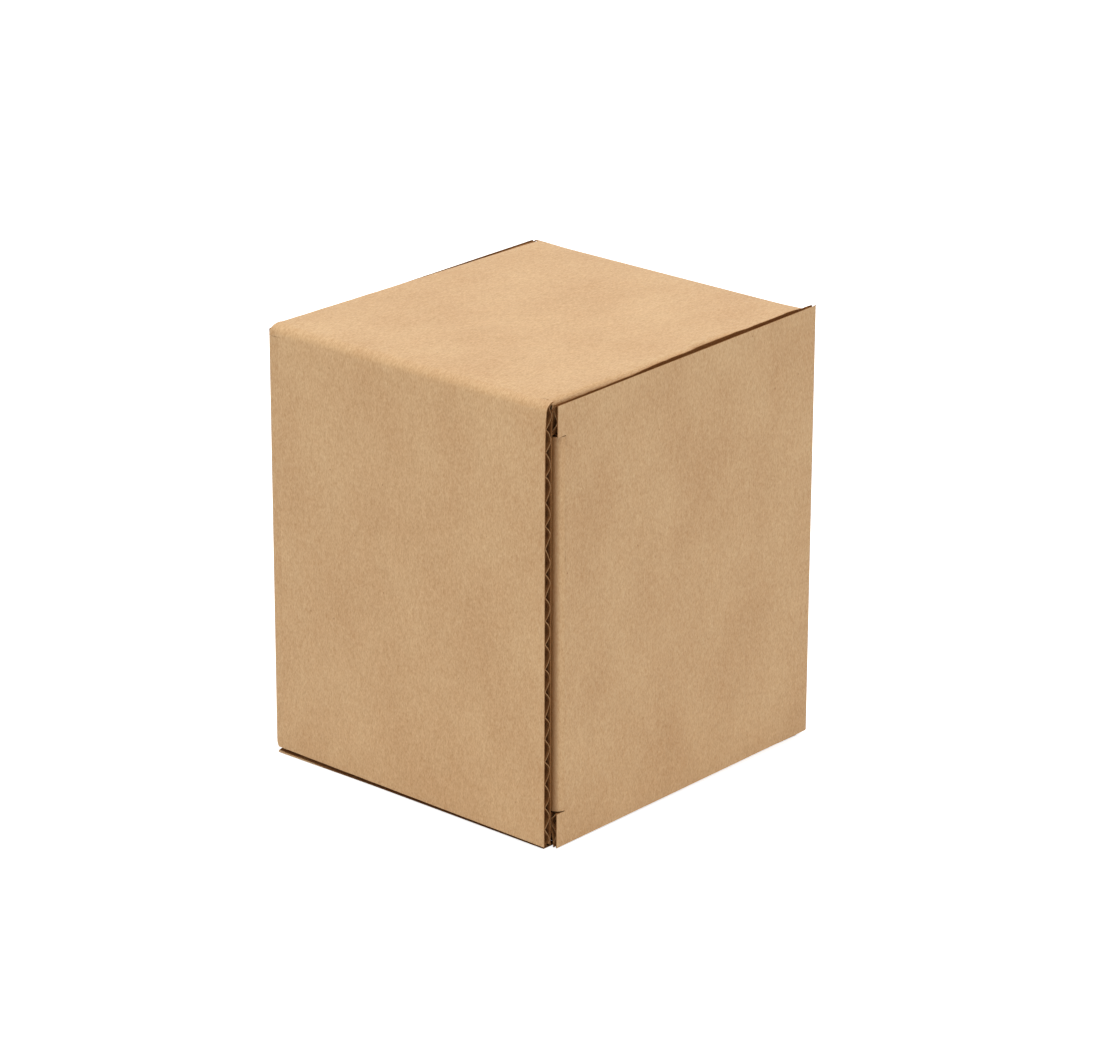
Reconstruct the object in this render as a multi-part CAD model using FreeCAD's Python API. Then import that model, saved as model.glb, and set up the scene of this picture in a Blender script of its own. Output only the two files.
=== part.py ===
"""Closed reverse-tuck carton of single-wall corrugated board, lying on its side.

Units are millimetres, +Z is up, and the origin is on the floor under the middle of the box. The carton is
one die-cut sheet, creased and folded: a tube of front, top, back and bottom walls along X, four dust flaps,
a glue tab, and a tuck lid over each end. The lids turn on their creases, so each is a solid of its own.
"""
import FreeCAD, Part
import math
import os

V = FreeCAD.Vector
X_AXIS = V(1, 0, 0)
Y_AXIS = V(0, 1, 0)
Z_AXIS = V(0, 0, 1)

# Outside of the closed carton
LENGTH_X = 98.0
DEPTH_Y = 105.0
HEIGHT_Z = 120.0

# Corrugated board
BOARD = 2.5
LINER = 0.3
MEDIUM = 0.3
FLUTE_PITCH = 6.3
CRUSHED_CREASE = 4.0

# Folds, measured on their outside
WALL_FOLD = 3.2
DUST_FOLD = 2.8
TUCK_FOLD = 2.8

# Running clearances
CREASE_GAP = 0.15
TUCK_GAP = 0.15
FLAP_GAP = 0.2
SIDE_GAP = 0.4

# End closures
RAW_SETBACK = 2.0
NOTCH_SETBACK = 0.8
NOTCH_HEIGHT = 8.0
SLIT_LENGTH = 3.0
SLIT_WIDTH = 0.35
TUCK_LENGTH = 15.0
TUCK_LEAN = 5.7
TUCK_CORNER = 9.0
DUST_LENGTH = 43.0
DUST_TAPER = 3.0
DUST_CORNER = 6.0
DUST_SHOULDER = 2.4

# How far the cut edges of each lid are out of square: low edges above the floor, high edges above the top wall
RIGHT_LID_SKEW = {"tuck_low": 0.3, "tuck_high": -1.5, "crease_low": 1.8, "crease_high": 1.2}
LEFT_LID_SKEW = {"tuck_low": 2.6, "tuck_high": 0.5, "crease_low": 3.6, "crease_high": -1.0}

# Glued seam along the lower front edge
SEAM_GAP = 0.5
NOSE_HEIGHT = 2.1
NOSE_REACH = 1.9
NOSE_ROUND = 1.0
SEAM_SKEW = 0.5
TAB_HEIGHT = 22.0
TAB_STEP = 7.0
TAB_TAPER = 6.0

# Places that follow from the sizes
HALF_X = LENGTH_X / 2
HALF_Y = DEPTH_Y / 2
LID_INSIDE = HALF_X - BOARD
RAW_X = HALF_X - RAW_SETBACK
FLAP_FACE = LID_INSIDE - FLAP_GAP
FLAP_FOLD_X = FLAP_FACE - DUST_FOLD
INSIDE_Y = HALF_Y - BOARD
INSIDE_TOP = HEIGHT_Z - BOARD
FRONT_LOW = NOSE_HEIGHT + SEAM_GAP
CREASE_X = HALF_X - BOARD / 2
CREASE_Y = HALF_Y - BOARD / 2
LID_END_Y = CREASE_Y - BOARD / 2 - CREASE_GAP
TUCK_FACE_Y = -INSIDE_Y + TUCK_GAP
NOTCH_Y = -INSIDE_Y + NOTCH_SETBACK
WINDOW_Y = INSIDE_Y - NOTCH_SETBACK + FLAP_GAP
FLAP_EDGE_TUCK = INSIDE_Y - BOARD - TUCK_GAP - 2 * SIDE_GAP
FLAP_EDGE_CREASE = INSIDE_Y - 2 * SIDE_GAP
OVERSHOOT = 1.0
FAR = 2 * (LENGTH_X + DEPTH_Y + HEIGHT_Z)


def straight(a, b):
    return Part.LineSegment(a, b).toShape()


def rounded_wire(corners):
    """Closed wire through (point, radius) corners, with an arc at each corner whose radius isn't 0."""
    ends = []
    count = len(corners)
    for i, (point, radius) in enumerate(corners):
        before = (corners[i - 1][0] - point).normalize()
        after = (corners[(i + 1) % count][0] - point).normalize()
        if radius == 0:
            ends.append((point, None, point))
            continue
        half_turn = before.getAngle(after) / 2
        reach = radius / math.tan(half_turn)
        bisector = (before + after).normalize()
        middle = point + bisector * (radius / math.sin(half_turn) - radius)
        ends.append((point + before * reach, middle, point + after * reach))
    edges = []
    for i, (start, middle, end) in enumerate(ends):
        if middle is not None:
            edges.append(Part.Arc(start, middle, end).toShape())
        following = ends[(i + 1) % count][0]
        if end.distanceToPoint(following) > 1e-6:
            edges.append(straight(end, following))
    return Part.Wire(edges)


def plate(corners, thickness):
    """Board cut to a rounded outline and given the vector thickness."""
    return Part.Face(rounded_wire(corners)).extrude(thickness)


def block(low, high):
    size = high - low
    return Part.makeBox(size.x, size.y, size.z, low)


def flute_row(start, across, into, run, length):
    """Channels between liners and medium, along a cut edge that starts at a point of the outer face."""
    clear = BOARD - 2 * LINER - MEDIUM
    half = FLUTE_PITCH / 2
    shares = (-0.42, -0.27, -0.12, 0.12, 0.27, 0.42)
    channels = []
    for k in range(1, int(length / half)):
        if k % 2:
            foot, rise = start + into * LINER, into
        else:
            foot, rise = start + into * (BOARD - LINER), into * -1
        foot = foot + across * (k * half)
        points = []
        for share in shares:
            height = 0 if abs(share) == shares[-1] else clear / 2 * (1 + math.cos(2 * math.pi * share))
            points.append(foot + across * (share * FLUTE_PITCH) + rise * height)
        outline = Part.makePolygon(points + points[:1])
        channels.append(Part.Face(outline).extrude(run))
    return channels


def tube():
    """Front, top, back and bottom walls with the glue tab, as one section along X."""
    uncut_low = NOSE_HEIGHT + SEAM_GAP / 2
    outside = [
        (V(0, -HALF_Y, uncut_low), 0),
        (V(0, -HALF_Y, HEIGHT_Z), WALL_FOLD),
        (V(0, HALF_Y, HEIGHT_Z), WALL_FOLD),
        (V(0, HALF_Y, 0), WALL_FOLD),
        (V(0, -INSIDE_Y - NOSE_REACH, 0), NOSE_ROUND),
        (V(0, -INSIDE_Y - NOSE_REACH, NOSE_HEIGHT), NOSE_ROUND),
        (V(0, -INSIDE_Y, NOSE_HEIGHT), 0),
        (V(0, -INSIDE_Y, uncut_low), 0),
    ]
    inner_fold = WALL_FOLD - BOARD
    inside = [
        (V(0, -INSIDE_Y + BOARD, TAB_HEIGHT), 0),
        (V(0, -INSIDE_Y + BOARD, BOARD), inner_fold),
        (V(0, INSIDE_Y, BOARD), inner_fold),
        (V(0, INSIDE_Y, INSIDE_TOP), inner_fold),
        (V(0, -INSIDE_Y, INSIDE_TOP), inner_fold),
        (V(0, -INSIDE_Y, TAB_HEIGHT), 0),
    ]
    length = V(2 * RAW_X, 0, 0)
    walls = plate(outside, length).cut(plate(inside, length))
    walls.translate(V(-RAW_X, 0, 0))
    return walls.cut(seam_skew())


def seam_skew():
    """Wedge that leaves the front wall's lower edge a little higher at its left end."""
    low = NOSE_HEIGHT + SEAM_GAP / 4
    corners = [
        (V(-RAW_X - OVERSHOOT, -HALF_Y - OVERSHOOT, low), 0),
        (V(RAW_X + OVERSHOOT, -HALF_Y - OVERSHOOT, low), 0),
        (V(RAW_X + OVERSHOOT, -HALF_Y - OVERSHOOT, FRONT_LOW), 0),
        (V(-RAW_X - OVERSHOOT, -HALF_Y - OVERSHOOT, FRONT_LOW + SEAM_SKEW), 0),
    ]
    return plate(corners, Y_AXIS * (OVERSHOOT + BOARD))


def tab_trims():
    """What is cut off the glue tab, so that the tuck and the dust flaps pass it at each end."""
    step_x = FLAP_FACE - TUCK_LENGTH - SIDE_GAP
    flap_x = FLAP_FOLD_X - SIDE_GAP
    low = BOARD + 2 * SIDE_GAP
    back = V(0, BOARD + SIDE_GAP / 4, 0)
    high = TAB_HEIGHT + OVERSHOOT
    right = [(step_x - TAB_TAPER, high), (step_x - TAB_TAPER, TAB_HEIGHT), (step_x, TAB_STEP),
             (flap_x, TAB_STEP), (flap_x, low), (FAR, low), (FAR, high)]
    left = [(-flap_x + TAB_TAPER, high), (-flap_x + TAB_TAPER, TAB_HEIGHT), (-flap_x, TAB_STEP),
            (-flap_x, low), (-FAR, low), (-FAR, high)]
    return [plate([(V(x, -INSIDE_Y, z), 0) for x, z in side], back) for side in (right, left)]


def end_cuts():
    """What the die cuts away at the right end, beside the dust flaps and the crease of the lid."""
    raw_wall = FLAP_EDGE_TUCK + SIDE_GAP
    return [
        block(V(FLAP_FOLD_X, -WINDOW_Y, INSIDE_TOP - WALL_FOLD), V(FAR, WINDOW_Y, FAR)),
        block(V(FLAP_FOLD_X, -raw_wall, -OVERSHOOT), V(FAR, WINDOW_Y, BOARD + WALL_FOLD)),
        block(V(FLAP_FACE, -WINDOW_Y, -OVERSHOOT), V(FAR, FAR, FAR)),
        block(V(FLAP_FACE, -FAR, -OVERSHOOT), V(FAR, FAR, NOSE_HEIGHT)),
    ]


def dust_flap(edge_tuck):
    """Flap folded down from the top wall at the right end. edge_tuck is its reach beside the lid's tuck."""
    fold_z = HEIGHT_Z - DUST_FOLD
    inner = DUST_FOLD - BOARD
    section = [
        straight(V(FLAP_FOLD_X, 0, HEIGHT_Z), V(FLAP_FOLD_X, 0, INSIDE_TOP)),
        Part.Arc(V(FLAP_FOLD_X, 0, INSIDE_TOP),
                 V(FLAP_FOLD_X + inner * math.sqrt(0.5), 0, fold_z + inner * math.sqrt(0.5)),
                 V(FLAP_FOLD_X + inner, 0, fold_z)).toShape(),
        straight(V(FLAP_FOLD_X + inner, 0, fold_z), V(FLAP_FACE, 0, fold_z)),
        Part.Arc(V(FLAP_FACE, 0, fold_z),
                 V(FLAP_FOLD_X + DUST_FOLD * math.sqrt(0.5), 0, fold_z + DUST_FOLD * math.sqrt(0.5)),
                 V(FLAP_FOLD_X, 0, HEIGHT_Z)).toShape(),
    ]
    fold = Part.Face(Part.Wire(section)).extrude(Y_AXIS * (edge_tuck + FLAP_EDGE_CREASE))
    fold.translate(V(0, -edge_tuck, 0))
    step = HEIGHT_Z - NOTCH_HEIGHT + SIDE_GAP
    shoulder = step + DUST_SHOULDER
    low = fold_z - DUST_LENGTH
    face_x = FLAP_FACE - BOARD
    outline = [
        (V(face_x, -edge_tuck, fold_z), 0),
        (V(face_x, -edge_tuck, shoulder), 0),
        (V(face_x, -FLAP_EDGE_TUCK, step), 0),
        (V(face_x, -FLAP_EDGE_TUCK + DUST_TAPER, low), DUST_CORNER),
        (V(face_x, FLAP_EDGE_CREASE - DUST_TAPER, low), DUST_CORNER),
        (V(face_x, FLAP_EDGE_CREASE, shoulder), 0),
        (V(face_x, FLAP_EDGE_CREASE, fold_z), 0),
    ]
    flap = plate(outline, X_AXIS * BOARD)
    row_start = V(FLAP_FACE, -FLAP_EDGE_TUCK + DUST_TAPER + DUST_CORNER, low - OVERSHOOT)
    row_length = FLAP_EDGE_TUCK + FLAP_EDGE_CREASE - 2 * (DUST_TAPER + DUST_CORNER)
    run = V(0, 0, DUST_LENGTH + OVERSHOOT - CRUSHED_CREASE)
    flutes = flute_row(row_start, Y_AXIS, X_AXIS * -1, run, row_length)
    return fold.fuse(flap).cut(flutes)


def lid_edges(skew):
    """Heights of a lid's cut edges, low and high, at its tuck and at its crease."""
    return {
        "tuck_low": skew["tuck_low"],
        "tuck_high": HEIGHT_Z + skew["tuck_high"],
        "crease_low": skew["crease_low"],
        "crease_high": HEIGHT_Z + skew["crease_high"],
    }


def lid_crease(edges):
    """The rolled edge of the back wall on which the right lid turns."""
    low, high = edges["crease_low"], edges["crease_high"]
    strip = block(V(FLAP_FACE, INSIDE_Y, low), V(CREASE_X, HALF_Y, high))
    roll = Part.makeCylinder(BOARD / 2, high - low, V(CREASE_X, CREASE_Y, low))
    return strip.fuse(roll)


def end_additions(edges):
    """Dust flaps and lid crease of the right end."""
    upper = dust_flap(WINDOW_Y - SIDE_GAP)
    lower = dust_flap(FLAP_EDGE_TUCK)
    lower = lower.mirror(V(0, 0, HEIGHT_Z / 2), Z_AXIS)
    return [upper, lower, lid_crease(edges)]


def front_flutes():
    """Channels of the front wall, open at its raw right edge, with the odd one in the top fold."""
    low = FRONT_LOW + SEAM_SKEW
    start = V(RAW_X + OVERSHOOT, -HALF_Y, low)
    run = V(-2 * RAW_X - OVERSHOOT + CRUSHED_CREASE, 0, 0)
    rows = flute_row(start, Z_AXIS, Y_AXIS, run, HEIGHT_Z - WALL_FOLD - low)
    deep = BOARD - LINER
    corner = [
        (V(RAW_X + OVERSHOOT, -HALF_Y + BOARD / 2, HEIGHT_Z - BOARD + LINER), 0),
        (V(RAW_X + OVERSHOOT, -HALF_Y + deep, HEIGHT_Z - 2 * LINER), 0),
        (V(RAW_X + OVERSHOOT, -HALF_Y + deep, HEIGHT_Z - deep), 0),
    ]
    rows.append(plate(corner, run))
    return rows


def about_middle(shape):
    """The same form at the other end of the carton, which repeats it half a turn round."""
    turned = shape.copy()
    turned.rotate(V(0, 0, 0), Z_AXIS, 180)
    return turned


def carton_body():
    body = tube().cut(tab_trims())
    body = body.cut(end_cuts() + [about_middle(c) for c in end_cuts()])
    added = end_additions(lid_edges(RIGHT_LID_SKEW))
    added += [about_middle(a) for a in end_additions(lid_edges(LEFT_LID_SKEW))]
    body = body.fuse(added).removeSplitter()
    flutes = front_flutes()
    return body.cut(flutes + [about_middle(f) for f in flutes])


def lid_panel(edges):
    """Flat of the right lid, notched at both ends of its tuck, with its cut edges a little out of square."""
    fold_y = TUCK_FACE_Y + TUCK_FOLD
    low, high = edges["tuck_low"], edges["tuck_high"]
    tuck_low, tuck_high = NOTCH_HEIGHT, HEIGHT_Z - NOTCH_HEIGHT
    outline = [
        (V(LID_INSIDE, NOTCH_Y, low), 0),
        (V(LID_INSIDE, LID_END_Y, edges["crease_low"]), 0),
        (V(LID_INSIDE, LID_END_Y, edges["crease_high"]), 0),
        (V(LID_INSIDE, NOTCH_Y, high), 0),
        (V(LID_INSIDE, NOTCH_Y, tuck_high), 0),
        (V(LID_INSIDE, fold_y, tuck_high), 0),
        (V(LID_INSIDE, fold_y, tuck_low), 0),
        (V(LID_INSIDE, NOTCH_Y, tuck_low), 0),
    ]
    return plate(outline, X_AXIS * BOARD)


def lid_tuck():
    """Tuck folded in behind the front wall, leaning inwards so that it clears the wall as the lid swings."""
    lean = math.radians(TUCK_LEAN)
    centre = V(HALF_X - TUCK_FOLD, TUCK_FACE_Y + TUCK_FOLD, 0)
    along = V(-math.cos(lean), math.sin(lean), 0)

    def rim(radius, angle):
        return centre + V(radius * math.cos(angle), -radius * math.sin(angle), 0)

    turn = math.pi / 2 + lean
    inner = TUCK_FOLD - BOARD
    tip = along * TUCK_LENGTH
    edges = [
        Part.Arc(rim(TUCK_FOLD, 0), rim(TUCK_FOLD, turn / 2), rim(TUCK_FOLD, turn)).toShape(),
        straight(rim(TUCK_FOLD, turn), rim(TUCK_FOLD, turn) + tip),
        straight(rim(TUCK_FOLD, turn) + tip, rim(inner, turn) + tip),
        straight(rim(inner, turn) + tip, rim(inner, turn)),
        Part.Arc(rim(inner, turn), rim(inner, turn / 2), rim(inner, 0)).toShape(),
        straight(rim(inner, 0), rim(TUCK_FOLD, 0)),
    ]
    low, high = NOTCH_HEIGHT + SLIT_WIDTH / 2, HEIGHT_Z - NOTCH_HEIGHT - SLIT_WIDTH / 2
    strip = Part.Face(Part.Wire(edges)).extrude(Z_AXIS * (high - low))
    strip.translate(V(0, 0, low))
    end_x = (rim(TUCK_FOLD, turn) + tip).x
    start_x = end_x + TUCK_CORNER
    drop = TUCK_CORNER / 2
    corners = []
    for edge, inward in ((low, 1), (high, -1)):
        points = [(V(start_x, -FAR, edge), 0), (V(end_x - OVERSHOOT, -FAR, edge + inward * drop), 0),
                  (V(end_x - OVERSHOOT, -FAR, edge - inward * OVERSHOOT), 0),
                  (V(start_x, -FAR, edge - inward * OVERSHOOT), 0)]
        corners.append(plate(points, Y_AXIS * 2 * FAR))
    into = V(math.sin(lean), math.cos(lean), 0)
    start = rim(TUCK_FOLD, turn) + tip + along * OVERSHOOT + V(0, 0, low + drop)
    run = along * -(TUCK_LENGTH + OVERSHOOT - CRUSHED_CREASE / 2)
    flutes = flute_row(start, Z_AXIS, into, run, high - low - 2 * drop)
    return strip.cut(corners).cut(flutes)


def lid_slits():
    """Knife cuts that free the ends of the tuck from the panel."""
    cuts = []
    for middle in (NOTCH_HEIGHT, HEIGHT_Z - NOTCH_HEIGHT):
        low = V(LID_INSIDE - BOARD, -FAR, middle - SLIT_WIDTH / 2)
        cuts.append(block(low, V(FAR, NOTCH_Y + SLIT_LENGTH, middle + SLIT_WIDTH / 2)))
    return cuts


def notch_flutes(edges):
    """Channels of the lid panel that open in its two notches."""
    low, high = edges["tuck_low"], edges["tuck_high"]
    run = V(0, LID_END_Y - NOTCH_Y + OVERSHOOT - CRUSHED_CREASE, 0)
    start_y = NOTCH_Y - OVERSHOOT
    lower = flute_row(V(HALF_X, start_y, low), Z_AXIS, X_AXIS * -1, run, NOTCH_HEIGHT - low)
    upper = flute_row(V(HALF_X, start_y, high), Z_AXIS * -1, X_AXIS * -1, run,
                      high - HEIGHT_Z + NOTCH_HEIGHT)
    return lower + upper


def tuck_lid(edges):
    """Lid of the right end: panel, tuck fold and tuck."""
    lid = lid_panel(edges).fuse(lid_tuck()).removeSplitter()
    return lid.cut(lid_slits() + notch_flutes(edges))


def main():
    os.makedirs("parts", exist_ok=True)
    nodes = {
        "carton_body": carton_body(),
        "right_lid": tuck_lid(lid_edges(RIGHT_LID_SKEW)),
        "left_lid": about_middle(tuck_lid(lid_edges(LEFT_LID_SKEW))),
    }
    for name, shape in nodes.items():
        box = shape.BoundBox
        print(name, "solids", len(shape.Solids), "valid", shape.isValid(), "volume", round(shape.Volume),
              "box", [round(v, 2) for v in (box.XMin, box.YMin, box.ZMin, box.XMax, box.YMax, box.ZMax)])
        shape.exportStep(f"parts/{name}.step")


main()
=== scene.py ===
# %% [markdown]
# # A closed cardboard box
#
# The object is a kraft carton, cut from one sheet of corrugated board: two flat papers, the liners, with a
# waved paper, the medium, glued between them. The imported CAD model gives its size, its three bodies (the
# folded carton and its two lids) and the hinges of the lids. This script makes what the eye sees around that
# frame: board with two faces and open edges, rounded folds, and the paper itself.

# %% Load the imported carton
import math

import bpy
import numpy as np
from mathutils import Matrix, Vector


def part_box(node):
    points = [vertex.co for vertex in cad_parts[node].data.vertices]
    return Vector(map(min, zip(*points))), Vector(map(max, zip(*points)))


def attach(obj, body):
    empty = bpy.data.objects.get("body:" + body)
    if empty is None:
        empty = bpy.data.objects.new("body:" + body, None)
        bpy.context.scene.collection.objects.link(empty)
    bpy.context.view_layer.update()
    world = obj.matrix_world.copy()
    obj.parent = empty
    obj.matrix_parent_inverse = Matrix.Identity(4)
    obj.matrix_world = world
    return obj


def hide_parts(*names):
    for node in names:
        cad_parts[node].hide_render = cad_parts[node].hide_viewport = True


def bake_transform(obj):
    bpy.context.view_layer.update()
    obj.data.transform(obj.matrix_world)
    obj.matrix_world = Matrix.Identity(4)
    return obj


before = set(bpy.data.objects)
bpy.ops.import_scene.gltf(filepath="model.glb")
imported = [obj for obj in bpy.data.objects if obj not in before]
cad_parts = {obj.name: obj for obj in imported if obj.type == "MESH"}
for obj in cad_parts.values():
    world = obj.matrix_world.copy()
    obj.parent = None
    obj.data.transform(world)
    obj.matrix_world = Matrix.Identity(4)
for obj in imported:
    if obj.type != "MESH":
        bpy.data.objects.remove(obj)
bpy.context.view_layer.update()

# %% [markdown]
# ## Sizes
#
# Lengths are in millimetres while the board is made, because that is how a carton maker writes them, and the
# meshes are scaled to metres at the end. The outside of the box comes from the frame. The rest are the sizes
# of the board, its folds and its closures. Sizes that only one part of the box has come with that part.

# %% Sizes of the carton
MM = 0.001
LENGTH_X = (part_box("right_lid")[1].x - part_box("left_lid")[0].x) / MM
DEPTH_Y = (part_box("carton_body")[1].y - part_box("carton_body")[0].y) / MM
HEIGHT_Z = 120.0
BOARD = 2.5
LINER = 0.26
FLUTE_PITCH = 6.3
WALL_FOLD = 3.2
DUST_FOLD = 2.8
TUCK_FOLD = 2.8
TUCK_GAP = 1.1
CREASE_ROLL = 2.0

HALF_X = LENGTH_X / 2
HALF_Y = DEPTH_Y / 2
RAW_X = HALF_X - 1.3
FLAP_FACE = HALF_X - BOARD - 0.2
FLAP_FOLD_X = FLAP_FACE - DUST_FOLD
CREASE_REACH = 4.0
CREASE_START_X = HALF_X - CREASE_REACH
CREASE_END_Y = HALF_Y - CREASE_REACH
NOTCH_HEIGHT = 9.8
TUCK_LENGTH = 15.0
print("carton", round(LENGTH_X, 2), "by", round(DEPTH_Y, 2), "by", HEIGHT_Z, "mm")

# %% [markdown]
# ## Camera
#
# The photograph was taken from in front and to the right, 20 degrees above the floor, with a long lens. The
# camera stands on a line from the middle of the box, and its small aim offsets put the box where it is in
# the picture.

# %% Camera
CAMERA_AZIMUTH = math.radians(-41.88)
CAMERA_ELEVATION = math.radians(20.06)
CAMERA_ROLL = math.radians(0.156)
CAMERA_DISTANCE = 9.938 * HEIGHT_Z * MM
AIM_RIGHT = 0.01463 * HEIGHT_Z * MM
AIM_UP = 0.02521 * HEIGHT_Z * MM
PICTURE_WIDTH = 1100
FOCAL_PIXELS = 4531
SENSOR_WIDTH = 36.0


def make_camera():
    azimuth, elevation = CAMERA_AZIMUTH, CAMERA_ELEVATION
    forward = Vector((math.sin(azimuth) * math.cos(elevation), math.cos(azimuth) * math.cos(elevation),
                      -math.sin(elevation)))
    right = Vector((math.cos(azimuth), -math.sin(azimuth), 0))
    up = right.cross(forward)
    target = Vector((0, 0, HEIGHT_Z / 2 * MM)) + right * AIM_RIGHT + up * AIM_UP
    place = target - forward * CAMERA_DISTANCE
    turned = Matrix((right, up, -forward)).transposed().to_4x4() @ Matrix.Rotation(CAMERA_ROLL, 4, "Z")
    camera = bpy.data.objects.new("camera", bpy.data.cameras.new("camera"))
    camera.matrix_world = Matrix.Translation(place) @ turned
    camera.data.sensor_fit = "HORIZONTAL"
    camera.data.sensor_width = SENSOR_WIDTH
    camera.data.lens = FOCAL_PIXELS / PICTURE_WIDTH * SENSOR_WIDTH
    camera.data.clip_start = 0.05
    camera.data.clip_end = 30
    bpy.context.scene.collection.objects.link(camera)
    bpy.context.scene.camera = camera
    return camera


camera = make_camera()
print("camera at", [round(value, 3) for value in camera.location], "lens", round(camera.data.lens, 1), "mm")

# %% [markdown]
# ## Paper
#
# Kraft paper is never one colour. Under a lens it is a felt of brown fibres that lie mostly along the way
# the paper ran through the machine, with clouds where the pulp was thicker, short hairs, a few dark specks
# of bark and a few pale ones. On this board the grain runs across the flutes: up the sides of the box and
# from front to back on its top. Every piece carries a UV map in metres, with U along the flutes and V along
# the grain, so one material gives the grain its direction everywhere, folds and lids too.
#
# Small helpers keep the node code short: one adds a node and links what it is given, one does sums, one
# mixes two colours, and the last turns a colour as the eye picks it into the one that a shader wants.

# %% Helpers for shader nodes
def add_node(tree, kind, inputs=None, **settings):
    """New node with its settings made and its inputs set or linked."""
    made = tree.nodes.new(kind)
    for name, value in settings.items():
        setattr(made, name, value)
    for name, value in (inputs or {}).items():
        if isinstance(value, bpy.types.NodeSocket):
            tree.links.new(value, made.inputs[name])
        else:
            made.inputs[name].default_value = value
    return made


def sum_node(tree, operation, first, second=0.0, third=0.0):
    """Result of one Math node."""
    return add_node(tree, "ShaderNodeMath", {0: first, 1: second, 2: third}, operation=operation).outputs[0]


def mix_node(tree, share, first, second):
    """Colour between a first and a second one."""
    return add_node(tree, "ShaderNodeMix", {"Factor": share, "A": first, "B": second},
                    data_type="VECTOR").outputs[1]


def linear(red, green, blue):
    """Shader colour of an sRGB colour given as 0 to 255."""
    values = [c / 255 for c in (red, green, blue)]
    return [c / 12.92 if c <= 0.04045 else ((c + 0.055) / 1.055) ** 2.4 for c in values]


print("helpers for nodes ready")

# %% [markdown]
# ## Kraft liner
#
# One function makes the paper, and its arguments say how dark it is and how strong its pattern is. Clouds
# change the tone over centimetres. Mottles of 1 to 2 mm, streaks of half a millimetre and fibres of about a
# quarter are noise stretched along the grain. Specks and flecks are small discs at random points of a Voronoi
# pattern, of which only a few are let through. The same fibres, as a bump, break up the light.
#
# Beside the raw edge of the box the paper of the tuck goes down into a crevice, where hardly any light comes
# back out. That shade is painted into the colour: a point attribute on the lids says how deep in the crevice
# a place lies, and the colour darkens with it.

# %% Patterns of paper
BOARD_MAP = "board"
# Name of the lids' point attribute that holds the painted shade of the crevice
CREVICE_SHADE_ATTRIBUTE = "crevice"
NOISE_DETAIL = 2.0

# Layers of tone: metres across the grain and along it, roughness, offset, and the strength of the layer
PAPER_LAYERS = {"clouds": (0.022, 0.034, 0.55, 0.0, 0.40),
                "mottle": (0.0012, 0.0022, 0.55, 3.1, 0.28),
                "streaks": (0.0005, 0.0036, 0.55, 7.7, 0.20),
                "fibres": (0.00028, 0.0008, 0.6, 5.3, 0.90)}
WARM_CLOUDS = (0.006, 0.009, 0.55, 12.0)
DARK_SPECKS = {"spacing": 0.009, "radius": 0.00028, "share": 0.24, "along": 1.6, "offset": 2.0}
PALE_FLECKS = {"spacing": 0.006, "radius": 0.00032, "share": 0.2, "along": 1.2, "offset": 9.0}


def stretched_noise(tree, place, width, length, roughness, offset):
    """Noise whose spots are about width across the grain and length along it, in metres."""
    shift = add_node(tree, "ShaderNodeMapping", {"Vector": place, "Location": (offset, offset / 3, offset),
                                                 "Scale": (1 / width, 1 / length, 1)})
    return add_node(tree, "ShaderNodeTexNoise", {"Vector": shift.outputs[0], "Scale": 1.0,
                                                 "Detail": NOISE_DETAIL, "Roughness": roughness}).outputs[0]


def sparse_spots(tree, place, spacing, radius, share, along, offset):
    """Mask of small spots, one at most in each cell of the given spacing, shown in a share of the cells."""
    shift = add_node(tree, "ShaderNodeMapping", {"Vector": place, "Location": (offset, offset, offset),
                                                 "Scale": (1 / spacing, 1 / spacing / along, 1)})
    cells = add_node(tree, "ShaderNodeTexVoronoi", {"Vector": shift.outputs[0], "Scale": 1.0},
                     voronoi_dimensions="2D")
    chosen = add_node(tree, "ShaderNodeSeparateColor", {0: cells.outputs["Color"]})
    size = sum_node(tree, "MULTIPLY", chosen.outputs[1], radius / spacing)
    spot = add_node(tree, "ShaderNodeMapRange", {"Value": cells.outputs["Distance"], "From Min": 0.0,
                                                 "From Max": size, "To Min": 1.0, "To Max": 0.0})
    shown = sum_node(tree, "LESS_THAN", chosen.outputs[0], share)
    return sum_node(tree, "MULTIPLY", spot.outputs[0], shown)


print("layers of tone:", list(PAPER_LAYERS))


# %% Kraft paper
TONE_STEP = 40
SPECK_TONE = -75
FLECK_TONE = 32
LIGHTER_LEAN = (0.85, 1.15, 1.25)
RUDDY = (1.02, 0.985, 0.965)
# Dark brown of the painted shade deep in the crevice beside the raw edge
PAINTED_CREVICE_SHADE_COLOUR = (134, 82, 18)
MOTTLE_RELIEF = 0.6
FELT_HEIGHT = 0.00014
PAPER_IOR = 1.5


def lighter(colour, amount):
    """Shader colour of an sRGB colour, moved by an amount. Lighter kraft is also less brown."""
    return linear(*(min(250, max(4, value + amount * share)) for value, share in zip(colour, LIGHTER_LEAN)))


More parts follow.
